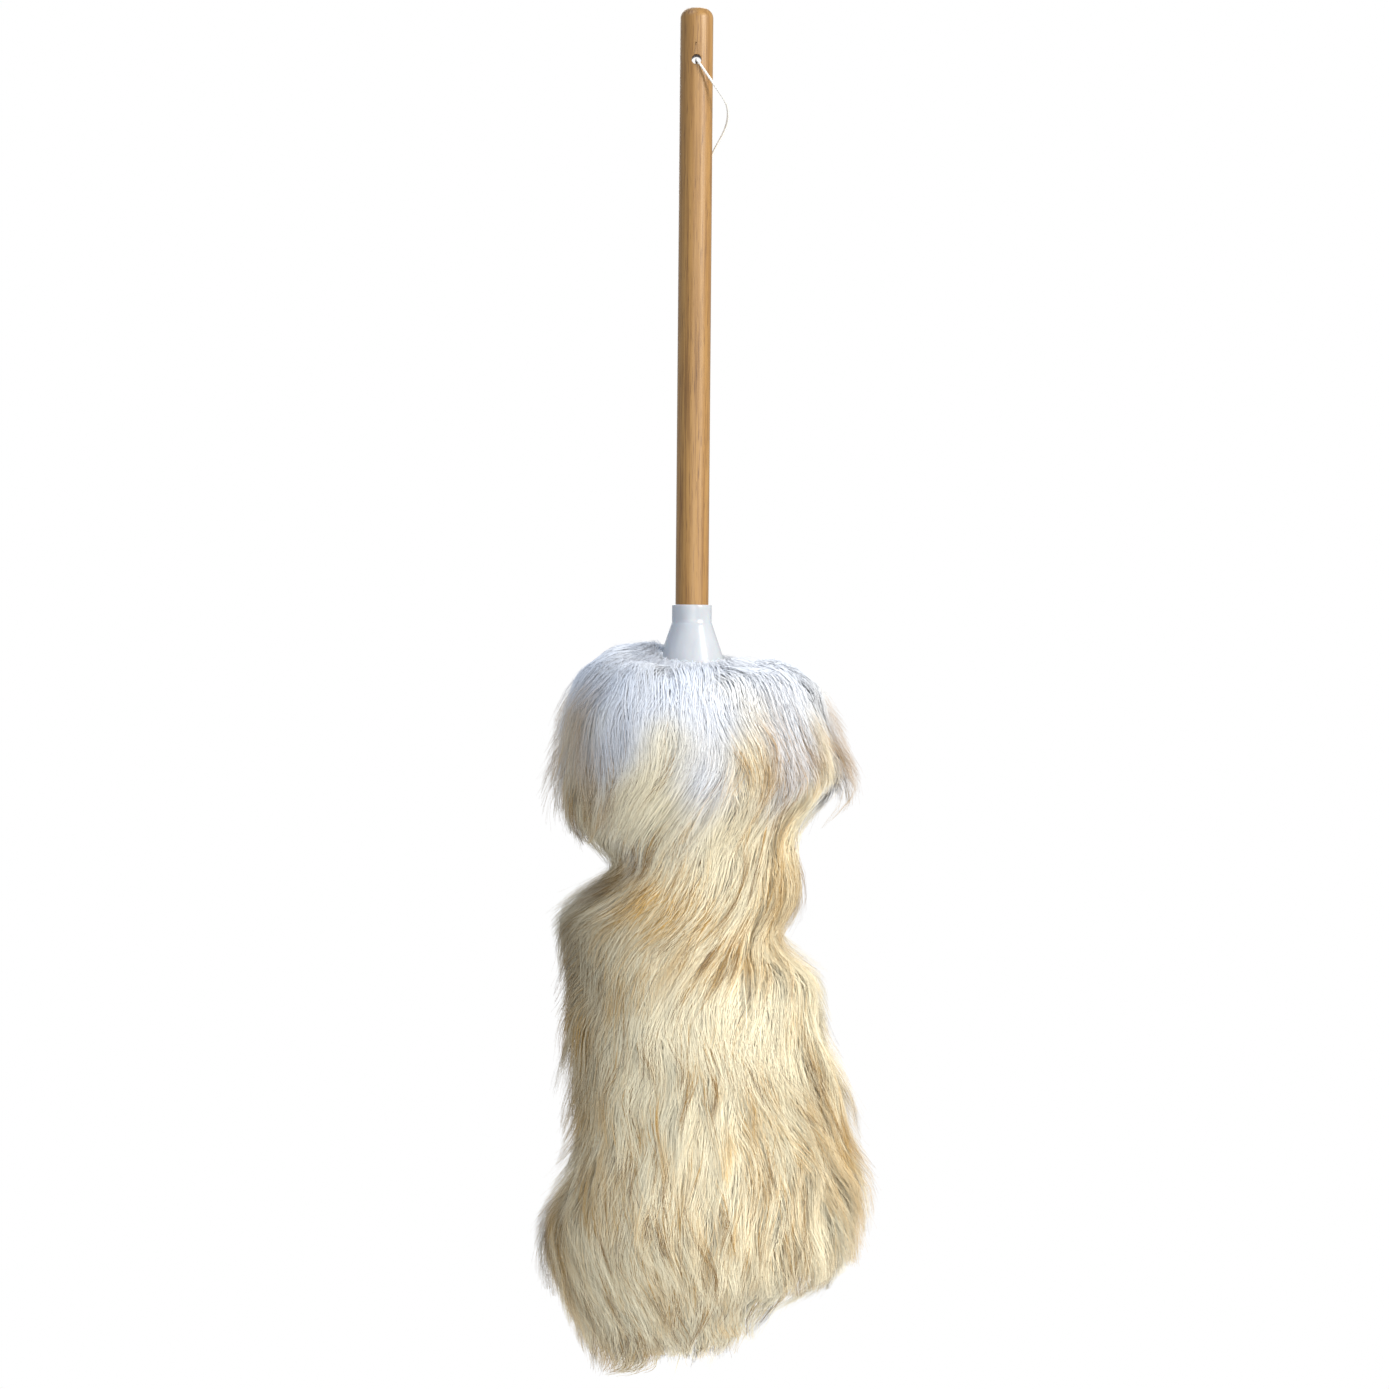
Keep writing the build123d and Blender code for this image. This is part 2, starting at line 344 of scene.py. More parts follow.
def wool_material():
    """Fibre colour from a white with painted cool sky shade to cream by region, with honey ends, a few dark
    hairs, and the shade attribute's random tone and painted shade.
    """
    n = Nodes("wool_look")
    warmth, honey, dark, shade = (n.attribute(name) for name in ("warmth", "honey", "dark", "shade"))
    mottle = n.noise(n.object_point((1.0, 1.0, 0.35)), 120.0)
    colour = n.mix(warmth, WOOL_WHITE_PAINTED_SKY_SHADE, WOOL_CREAM)
    colour = n.mix(n.maths("MULTIPLY", honey, n.remap(mottle, 0.3, 0.7, 0.75, 1.1)), colour, WOOL_HONEY)
    colour = n.mix(dark, colour, WOOL_BROWN)
    # The shade attribute darkens the colour: partly random tone of each lock, partly painted shade where wool
    # lies behind or under other locks.
    tone = n.maths("ADD", shade, n.remap(mottle, 0.3, 0.7, -0.04, 0.04))
    colour = n.mix(1.0, colour, n.ramp(tone, [(0.0, (0.55, 0.53, 0.50)), (1.0, (1.0, 1.0, 1.0))]), "MULTIPLY")
    n.set(Base_Color=colour, Roughness=0.62, Specular_IOR_Level=0.3, Sheen_Weight=0.15, Sheen_Roughness=0.4)
    return n.material


# ---------------------------------------------------------------- handle and collar

HANDLE_SEGMENTS = 112
HANDLE_ROW = 6.0
DOME_ROUND = 5.2
HOLE_SEGMENTS = 48
HOLE_RADIUS = 2.4
HOLE_ROUND = 0.35
END_CHAMFER = 1.0
COLLAR_SEGMENTS = 128
SLEEVE_RADIUS = 9.6
SLEEVE_LENGTH = 9.0
BELL_START_RADIUS = 9.8
BELL_MIDDLE_RADIUS = 14.4
BELL_MIDDLE_DROP = 22.5
COLLAR_WALL = 1.6
COLLAR_GRIP = 12.0
COLLAR_BORE = 8.05
RIM_ROUND = 0.5


def build_handle(material):
    """The dowel: a fine lathe with a domed tip and the cross hole."""
    low, high = box_mm("handle")
    radius, bottom, top = high[0], low[2], high[2]
    profile = [(ON_AXIS, bottom), (radius - END_CHAMFER, bottom), (radius, bottom + END_CHAMFER)]
    rows = int((top - bottom) / HANDLE_ROW)
    for z in np.linspace(bottom + END_CHAMFER, top - DOME_ROUND, rows)[1:]:
        profile.append((radius, z))
    profile += round_off(radius, top, DOME_ROUND, 12)
    profile.append((ON_AXIS, top))
    handle = lathe("handle_dowel", profile, HANDLE_SEGMENTS, material)
    cut_cross_hole(handle, radius)
    smooth_by_angle(handle, 28)
    return handle


def cut_cross_hole(handle, radius):
    """A hole along Y through the origin, with rounded mouths."""
    reach = radius * 1.6
    profile = [(ON_AXIS, -reach), (HOLE_RADIUS, -reach), (HOLE_RADIUS, reach), (ON_AXIS, reach)]
    along_y = lathe_rings(profile, HOLE_SEGMENTS)[:, [0, 2, 1]]
    drill = new_mesh("drill", along_y, lathe_faces(len(profile), HOLE_SEGMENTS), handle.data.materials[0])
    merge_close(drill, MERGE_DISTANCE)
    cut = handle.modifiers.new("hole", "BOOLEAN")
    cut.operation = "DIFFERENCE"
    cut.solver = "EXACT"
    cut.object = drill
    make_active(handle)
    bpy.ops.object.modifier_apply(modifier=cut.name)
    bpy.data.objects.remove(drill)
    mesh = bmesh.new()
    mesh.from_mesh(handle.data)
    rims = []
    for edge in mesh.edges:
        middle = (edge.verts[0].co + edge.verts[1].co) / 2 / MM
        from_hole = math.hypot(middle.x, middle.z)
        sharp = len(edge.link_faces) == 2 and edge.calc_face_angle(0) > math.radians(35)
        if sharp and abs(from_hole - HOLE_RADIUS) < 0.05:
            rims.append(edge)
    bmesh.ops.bevel(mesh, geom=rims, offset=HOLE_ROUND * MM, segments=3, profile=0.5, affect="EDGES",
                    clamp_overlap=True)
    mesh.to_mesh(handle.data)
    mesh.free()


def bell_arc(wall, start, steps):
    """The bell's curve from a starting point to its end, on the outside or one wall further in."""
    low, high = box_mm("collar")
    middle = (BELL_MIDDLE_RADIUS - wall, high[2] - BELL_MIDDLE_DROP)
    return arc_through(start, middle, (high[0] - wall, low[2]), steps)


def build_collar(material):
    """The moulded collar: a sleeve on the dowel, then a flared bell."""
    rim = box_mm("collar")[1][2]
    profile = round_off(SLEEVE_RADIUS, rim, RIM_ROUND, 5)[::-1]
    for z in np.linspace(rim - RIM_ROUND, rim - SLEEVE_LENGTH + 0.35, 5):
        profile.append((SLEEVE_RADIUS, z))
    profile += bell_arc(0.0, (BELL_START_RADIUS, rim - SLEEVE_LENGTH), 26)
    profile += bell_arc(COLLAR_WALL, (COLLAR_BORE, rim - COLLAR_GRIP), 20)[::-1]
    profile += [(COLLAR_BORE, rim - COLLAR_GRIP / 2), (COLLAR_BORE, rim)]
    collar = lathe("collar_moulding", profile, COLLAR_SEGMENTS, material, closed_profile=True)
    smooth_by_angle(collar, 32)
    return collar


# ---------------------------------------------------------------- cord

PLY_RADIUS = 0.35
PLY_OFFSET = 0.29
PLIES = 3
PLY_PITCH = 4.2
PLY_SIDES = 8
PLY_STEP = 0.45
LEG_Y = 9.05
BEND_RADIUS = 2.2
FRONT_SLANT = math.radians(145)
FRONT_LENGTH = 20.0
BACK_LENGTH = 14.0
CORD_TURN = [(15.4, -3.5, -25.0), (14.0, 6.0, -33.0), (7.5, 10.8, -46.0)]
KNOT_X = 1.5
KNOT_Y = 11.4
KNOT_TOP = -60.0
KNOT_LENGTH = 7.0
KNOT_WRAPS = 2.6
KNOT_RADIUS = 1.5
LEG_SPREAD = 1.0
TAIL_LENGTH = 9.0
TAIL_SPREAD = 2.2


def hermite_chain(points, start_way, end_way, steps):
    """A smooth curve through points, with the given directions at its two ends."""
    p = np.array(points, float)
    ways = np.zeros_like(p)
    ways[1:-1] = (p[2:] - p[:-2]) / 2
    ways[0] = np.array(start_way) * np.linalg.norm(p[1] - p[0])
    ways[-1] = np.array(end_way) * np.linalg.norm(p[-1] - p[-2])
    t = np.linspace(0, 1, steps, endpoint=False)[:, None]
    parts = []
    for a, b, wa, wb in zip(p[:-1], p[1:], ways[:-1], ways[1:]):
        parts.append((2 * t**3 - 3 * t**2 + 1) * a + (t**3 - 2 * t**2 + t) * wa
                     + (3 * t**2 - 2 * t**3) * b + (t**3 - t**2) * wb)
    return np.concatenate(parts + [p[-1:]])


def quarter_bend(way, side):
    """The bend at a mouth of the hole, from the hole's axis to the cord's way along the handle."""
    outwards = np.array([0.0, side, 0.0])
    turn = np.linspace(0, math.pi / 2, 7)[:, None]
    return outwards * (LEG_Y - BEND_RADIUS) + (outwards * np.sin(turn) + way * (1 - np.cos(turn))) * BEND_RADIUS


def resample(path, step):
    """The same path with points at even steps of length."""
    lengths = np.r_[0, np.cumsum(np.linalg.norm(np.diff(path, axis=0), axis=1))]
    keep = np.r_[True, np.diff(lengths) > 1e-9]
    path, lengths = path[keep], lengths[keep]
    even = np.linspace(0, lengths[-1], max(4, int(lengths[-1] / step)))
    return np.stack([np.interp(even, lengths, path[:, k]) for k in range(3)], 1)


def side_ways(path):
    """Two directions across a path, carried along it without twist."""
    tangent = np.gradient(path, axis=0)
    tangent /= np.linalg.norm(tangent, axis=1)[:, None]
    side = np.zeros_like(path)
    first = np.cross(tangent[0], (0.3, 0.9, 0.1))
    side[0] = first / np.linalg.norm(first)
    for i in range(1, len(path)):
        s = side[i - 1] - tangent[i] * (side[i - 1] @ tangent[i])
        side[i] = s / np.linalg.norm(s)
    return side, np.cross(tangent, side)


def tube(path, radii, sides):
    """Vertices and faces of a closed tube round a path, with one radius for each point."""
    side, across = side_ways(path)
    turn = around(sides)[None, :, None]
    ring = side[:, None, :] * np.cos(turn) + across[:, None, :] * np.sin(turn)
    verts = (path[:, None, :] + ring * radii[:, None, None]).reshape(-1, 3)
    last = (len(path) - 1) * sides
    caps = [tuple(range(sides - 1, -1, -1)), tuple(range(last, last + sides))]
    return verts, lathe_faces(len(path), sides) + caps


def twisted_plies(path, phase=0.0, spread_end=0.0):
    """Tubes twisted round a path; spread_end opens them near its end, as a frayed end."""
    path = resample(path, PLY_STEP)
    side, across = side_ways(path)
    run = np.arange(len(path)) * PLY_STEP
    share = np.linspace(0, 1, len(path))
    offset = PLY_OFFSET * (1.0 + spread_end * np.clip((share - 0.72) / 0.28, 0, 1) ** 2)
    radii = PLY_RADIUS * (1.0 - 0.35 * np.clip((share - 0.8) / 0.2, 0, 1) * (spread_end > 0))
    tubes = []
    for ply in range(PLIES):
        turn = (2 * math.pi * (run / PLY_PITCH + ply / PLIES) + phase)[:, None]
        centre = path + (side * np.cos(turn) + across * np.sin(turn)) * offset[:, None]
        tubes.append(tube(centre, radii, PLY_SIDES))
    return tubes


def join_tubes(tubes):
    """The vertices and faces of many tubes as one list each."""
    starts = np.cumsum([0] + [len(verts) for verts, _ in tubes])
    faces = [tuple(i + start for i in face) for (_, part), start in zip(tubes, starts) for face in part]
    return np.concatenate([verts for verts, _ in tubes]), faces


def build_cord(material):
    """The hanging loop: twisted plies along the loop, a wrapped knot, and two tails that fray."""
    front_way = np.array([math.sin(FRONT_SLANT), 0.0, math.cos(FRONT_SLANT)])
    back_way = np.array([0.0, 0.0, -1.0])
    front, back = quarter_bend(front_way, -1.0), quarter_bend(back_way, 1.0)
    front_end = front[-1] + front_way * FRONT_LENGTH
    back_end = back[-1] + back_way * BACK_LENGTH
    loop_end = KNOT_TOP - LEG_SPREAD - 2.0
    up = hermite_chain([(KNOT_X - LEG_SPREAD, KNOT_Y, loop_end), back_end], (0, 0, 1), (0, 0, 1), 30)
    knot_in = (KNOT_X + LEG_SPREAD, KNOT_Y, loop_end)
    down = hermite_chain([front_end, *CORD_TURN, knot_in], front_way, (0, 0, -1), 22)
    tubes = twisted_plies(np.concatenate([up, back[::-1], front, down]))
    wraps = np.linspace(0, 1, 70)
    turns = wraps * 2 * math.pi * KNOT_WRAPS
    tubes += twisted_plies(np.stack([KNOT_X + KNOT_RADIUS * np.cos(turns),
                                     KNOT_Y + KNOT_RADIUS * 0.95 * np.sin(turns),
                                     KNOT_TOP - 1.2 - wraps * (KNOT_LENGTH - 2.4)], 1))
    for side in (-1, 1):
        top = (KNOT_X + side * 0.3, KNOT_Y, KNOT_TOP - KNOT_LENGTH / 2 + 1.0)
        bottom = (KNOT_X + side * TAIL_SPREAD, KNOT_Y, KNOT_TOP - KNOT_LENGTH - TAIL_LENGTH)
        tail = hermite_chain([top, bottom], (0, 0, -1), (side * 0.25, 0, -0.97), 24)
        tubes += twisted_plies(tail, phase=side, spread_end=0.9)
    loop = new_mesh("hanging_loop", *join_tubes(tubes), material)
    smooth_by_angle(loop, 60)
    return loop


# ---------------------------------------------------------------- the shape that the wool follows

ANGLES = 144
ANGLE_STEP = 2 * math.pi / ANGLES
RUN_STEP = 1.5
RUN_POINTS = 330
SHAPE_SMOOTHING = 5.0
CROWN_INSET = 3.0
CROWN_DIP = 5.0
CROWN_RISE = 14.0
BELOW_TIP = 18.0

# Height of the wool's crest round the collar: left and back, front, right.
CREST_LEFT = -281.0
CREST_FRONT = -291.0
CREST_RIGHT = -288.5

# Local pushes of the outline: angle in degrees, z, half angle, half height, push outwards.
SCULPT = [
    (180, -294, 40, 8, 5.0),
    (180, -325, 34, 22, -4.0),
    (180, -395, 42, 10, -14.0),
    (180, -419, 36, 8, 3.0),
    (180, -535, 30, 22, -6.0),
    (180, -595, 30, 14, -4.0),
    (0, -424, 42, 8, -15.0),
    (0, -443, 36, 8, 3.0),
    (0, -299, 34, 10, 7.0),
    (0, -332, 34, 18, -3.0),
    (0, -352, 30, 7, 2.0),
    (0, -370, 34, 7, -2.5),
    (0, -476, 30, 11, -6.0),
    (0, -523, 30, 14, -4.0),
    (0, -565, 30, 30, -4.0),
]

# Where the hanging ends stop under the bottom skirt, from left to right.
TIP_X = [-62, -53, -46, -36, -26, -16, 0, 14, 26, 32, 42, 58, 74]
TIP_Z = [-600, -614, -629, -639, -636, -627, -627, -629, -631, -624, -606, -593, -585]


def sculpt_at(angle, heights):
    """How far the outline is pushed outwards at an angle, for an array of heights."""
    push = np.zeros_like(heights)
    for centre, z, half_angle, half_height, amount in SCULPT:
        off = (math.degrees(angle) - centre + 180) % 360 - 180
        push += amount * hill(off / half_angle, (heights - z) / half_height)
    return push


def crown_height(angle):
    """Height of the crest at an angle: highest at the left and lowest at the front."""
    side = (CREST_RIGHT + CREST_LEFT) / 2 + (CREST_RIGHT - CREST_LEFT) / 2 * math.cos(angle)
    front = max(0.0, -math.sin(angle)) ** 1.5
    return side + (CREST_FRONT - side) * front


def head_radius_grid(heights):
    """Outer radius of the CAD head for each angle and height, by rays towards the dowel."""
    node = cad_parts["wool_pile"].data
    tree = BVHTree.FromPolygons([v.co / MM for v in node.vertices], [tuple(p.vertices) for p in node.polygons])
    start = 300.0
    grid = np.zeros((ANGLES, len(heights)))
    for i, angle in enumerate(around(ANGLES)):
        way = Vector((math.cos(angle), math.sin(angle), 0.0))
        for j, z in enumerate(heights):
            hit = tree.ray_cast(way * start + Vector((0, 0, z)), -way)
            grid[i, j] = start - hit[3] if hit[0] is not None else 0.0
    return grid


def collar_radius(z):
    """Outer radius of the collar's bell at a height, and 0 below it."""
    low, high = box_mm("collar")
    radii, levels = zip(*bell_arc(0.0, (BELL_START_RADIUS, high[2] - SLEEVE_LENGTH), 40)[::-1])
    return np.where(z < low[2], 0.0, np.interp(z, levels, radii))


def smooth_line(line, sigma):
    """Gaussian smoothing of a polyline whose ends stay put."""
    reach = int(3 * sigma)
    weights = np.exp(-0.5 * (np.arange(-reach, reach + 1) / sigma) ** 2)
    weights /= weights.sum()
    out = []
    for k in range(line.shape[1]):
        before = 2 * line[0, k] - line[1:reach + 1, k][::-1]
        after = 2 * line[-1, k] - line[-reach - 1:-1, k][::-1]
        out.append(np.convolve(np.r_[before, line[:, k], after], weights, "valid"))
    return np.stack(out, 1)


class Shape:
    """The head's outer surface as profiles of radius and height by run, one for each angle."""

    def __init__(self):
        low, high = box_mm("wool_pile")
        self.bottom = low[2]
        heights = np.arange(high[2] - 1.0, self.bottom + 1.0, -3.0)
        radii = head_radius_grid(heights)
        self.radius = np.zeros((ANGLES, RUN_POINTS))
        self.height = np.zeros((ANGLES, RUN_POINTS))
        self.length = np.zeros(ANGLES)
        for i, angle in enumerate(around(ANGLES)):
            line = self.profile(angle, heights, radii[i])
            lengths = np.r_[0, np.cumsum(np.linalg.norm(np.diff(line, axis=0), axis=1))]
            even = np.arange(0, lengths[-1], RUN_STEP)
            line = np.stack([np.interp(even, lengths, line[:, k]) for k in range(2)], 1)
            line = smooth_line(line, SHAPE_SMOOTHING / RUN_STEP)
            line[:, 0] += sculpt_at(angle, line[:, 1])
            count = min(len(line), RUN_POINTS)
            self.length[i] = (count - 1) * RUN_STEP
            step = line[count - 1] - line[count - 2]
            beyond = line[count - 1] + np.arange(1, RUN_POINTS - count + 1)[:, None] * step
            self.radius[i], self.height[i] = np.concatenate([line[:count], beyond]).T

    def profile(self, angle, heights, radii):
        """One profile: up beside the bell, out over the crown, down the side and on below the tip."""
        crest = crown_height(angle)
        rise_z, dip_z = crest - CROWN_RISE, crest - CROWN_DIP
        bell_end = box_mm("collar")[0][2] + 0.1
        rise_r, dip_r = (float(collar_radius(max(z, bell_end))) + 1.2 for z in (rise_z, dip_z))
        points = [(rise_r, rise_z), (dip_r, dip_z)]
        shoulder = radii[0] - CROWN_INSET
        for share in np.linspace(0.2, 1.0, 8):
            points.append((dip_r + (shoulder - dip_r) * share,
                           crest - CROWN_DIP * (1 - math.sin(share * 2.0)) ** 2))
        for z, r in zip(heights, radii):
            if r > 1.0 and z < crest - 4.0:
                points.append((r, z))
        points.append((points[-1][0], self.bottom - BELOW_TIP))
        return np.array(points)

    def between(self, angle):
        """The two profiles beside an angle, and how far it lies between them."""
        u = (angle / ANGLE_STEP) % ANGLES
        before = np.floor(u).astype(int) % ANGLES
        return before, (before + 1) % ANGLES, u - np.floor(u)

    def at(self, angle, run):
        """Radius, height and the outward normal (in radius, height) at an angle and a run."""
        before, after, part = self.between(angle)
        v = np.clip(run / RUN_STEP, 0, RUN_POINTS - 2.001)
        j = np.floor(v).astype(int)
        (ra, rb), (za, zb) = ([table[before, k] * (1 - part) + table[after, k] * part for k in (j, j + 1)]
                              for table in (self.radius, self.height))
        dr, dz = rb - ra, zb - za
        size = np.hypot(dr, dz) + 1e-9
        return ra + dr * (v - j), za + dz * (v - j), -dz / size, dr / size

    def end_run(self, angle):
        before, after, part = self.between(angle)
        return self.length[before] * (1 - part) + self.length[after] * part - BELOW_TIP


# ---------------------------------------------------------------- the groom

# Locks: rows of them down the head, with room below the last ones.
LOCK_SPACING = 12.0
ROW_SPACING = 7.0
ROOT_TO_END = 12.0
ROOT_ABOVE_TIP = 16.0
LOCK_LENGTH = 56.0
CROWN_STRETCH = 0.45
LOCK_SPREAD = 7.0
TUFTS_PER_LOCK = 6
STRANDS_PER_LOCK = 56

# Strands: their rings and sides, their radius, and how their shading follows the head and not the strand.
STRAND_RINGS = 7
STRAND_SIDES = 3
STRAND_FLATNESS = 0.4
SHORTEST_STRAND = 14.0
ROOT_RADIUS = 0.27
TIP_RADIUS = 0.05
SHELL_SHARE_OF_NORMAL = 0.75
UV_INSET = 0.12
FACES_PER_PIECE = 190000

# How strands lie on the head: depth at the root and along them, sideways swing, and distance from the axis.
ROOT_DEPTH = 9.0
SURFACE_INSET = 3.2
FLOW_SWING = 0.22
CORE_RADIUS = 11.5
NARROWEST_RADIUS = 14.0

# Shares of strands that differ from their lock, and how far they stand off or lie under it.
FLYAWAY_SHARE = 0.04
FLICK_SHARE = 0.3
FLICK_REACH = 8.0
GUARD_LIFT = 1.3
FILLER_SHARE = 0.3
FILLER_DEPTH = 0.8
STROKE_SHARE = 0.032
STROKE_SHARE_IN_COLOUR = 0.2

# Hanging: how steeply strands may turn inwards, and the heights where stiff locks are cut, right and left.
STIFF_INWARD = 0.2
LIMP_INWARD = 0.95
TOP_SKIRT_STOP = (-352.0, -371.0)
BOTTOM_SKIRT_STOP = (-592.0, -603.0)
LOWEST_Z = -637.0
SOFT_END = 12.0

# How far the hair leans sideways as it comes down, by height: degrees, positive towards -X at the front.
LEAN = [(-285, -2), (-340, 0), (-370, 8), (-395, 22), (-425, 34), (-455, 26), (-485, 8), (-520, -4), (-560, -6),
        (-634, 4)]

# Where the ends of the wool are coloured, on the front, with one entry of painted shade: x, z, half width, half
# height, honey, brown.
COLOURED_ENDS = [
    (-20, -410, 22, 11, 0.95, 0.30),
    (46, -402, 10, 24, 0.85, 0.30),
    (38, -352, 10, 22, 0.50, 0.20),
    (78, -338, 6, 13, 0.85, 0.45),
    (56, -346, 11, 13, 0.45, 0.10),
    (-74, -324, 6, 12, 0.75, 0.35),
    (-70, -350, 8, 10, 0.55, 0.35),
    (-60, -368, 12, 12, 0.60, 0.50),
    # Painted shade: a brown line on the back tuft's top edge, where it lies in shadow under the front locks.
    (-54, -405, 10, 6, 0.50, 0.90),
    (18, -438, 24, 10, 0.50, 0.25),
    (-58, -412, 8, 22, 0.35, 0.35),
    (-57, -472, 12, 16, 0.75, 0.6),
    (-56, -505, 10, 14, 0.65, 0.45),
    (66, -505, 7, 14, 0.50, 0.40),
    (34, -550, 6, 34, 0.40, 0.45),
    (56, -560, 7, 32, 0.40, 0.40),
    (76, -522, 6, 12, 0.85, 0.50),
    (-45, -556, 12, 20, 0.55, 0.25),
    (-5, -580, 16, 30, 0.35, 0.20),
    (-68, -572, 13, 22, 0.85, 0.40),
    (-40, -628, 20, 8, 0.55, 0.30),
]

# Painted shade: where the wool is coloured greyer because it lies in shadow behind other locks: x, z, half
# width, half height, amount.
PAINTED_SHADE = [
    (-66, -432, 19, 34, 1.0),
    (-50, -401, 14, 6, 1.0),
    (-64, -495, 14, 36, 0.60),
]


def lean_at(z):
    """How far the hair goes sideways for each step down."""
    levels, degrees = zip(*LEAN[::-1])
    return np.tan(np.radians(np.interp(z, levels, degrees)))


class Waves:
    """Smooth random variation over the head's surface, as a sum of sines."""

    def __init__(self, wavelengths, count=9):
        self.parts = []
        for _ in range(count):
            length = rng.uniform(*wavelengths)
            way = rng.normal(size=3)
            way /= np.linalg.norm(way)
            self.parts.append((way * 2 * math.pi / length, rng.uniform(0, 2 * math.pi)))

    def __call__(self, x, y, z):
        total = np.zeros_like(np.asarray(x, float))
        for way, phase in self.parts:
            total += np.sin(x * way[0] + y * way[1] + z * way[2] + phase)
        return total / math.sqrt(len(self.parts) / 2)


def coloured_ends_at(x, y, z):
    """Honey and brown amounts for hair that ends at these points; the back repeats the front, turned round."""
    honey = np.zeros_like(x)
    brown = np.zeros_like(x)
    front = smoothstep(25.0, -10.0, y)
    for cx, cz, half_w, half_h, honey_here, brown_here in COLOURED_ENDS:
        near = hill((x - cx) / half_w, (z - cz) / half_h)
        behind = hill((-x - cx) / (half_w * 1.2), (z - cz) / half_h)
        for amount, here in ((honey, honey_here), (brown, brown_here)):
            np.maximum(amount, near * here * front, out=amount)
            np.maximum(amount, behind * here * (1 - front) * 0.9, out=amount)
    return honey, brown


def painted_shade_at(x, y, z):
    """How much painted shade greys the wool where it lies in shadow behind other locks, on the front."""
    shade = np.zeros_like(x)
    for cx, cz, half_w, half_h, amount in PAINTED_SHADE:
        near = hill((x - cx) / half_w, (z - cz) / half_h)
        shade = np.maximum(shade, near * amount * smoothstep(30.0, 0.0, y))
    return shade


def lay_locks(shape):
    """Root angle and run of every lock, in staggered rows over the whole head."""
    angles, runs = [], []
    for row in np.arange(0.0, shape.length.max(), ROW_SPACING):
        middle_r = float(np.mean(shape.at(np.linspace(0, 2 * math.pi, 24), np.full(24, row))[0]))
        count = max(7, int(2 * math.pi * max(middle_r, 6.0) / LOCK_SPACING))
        turn = (np.arange(count) + rng.uniform(0, 1) + rng.uniform(-0.35, 0.35, count)) / count * 2 * math.pi
        run = row + rng.uniform(-0.5, 0.5, count) * ROW_SPACING
        radius, height, _, _ = shape.at(turn, run)
        above_tip = height - np.interp(radius * np.cos(turn), TIP_X, TIP_Z)
        keep = (run < shape.end_run(turn) - ROOT_TO_END) & (above_tip > ROOT_ABOVE_TIP)
        angles.append(turn[keep])
        runs.append(np.maximum(run[keep], 0.0))
    return np.concatenate(angles), np.concatenate(runs)


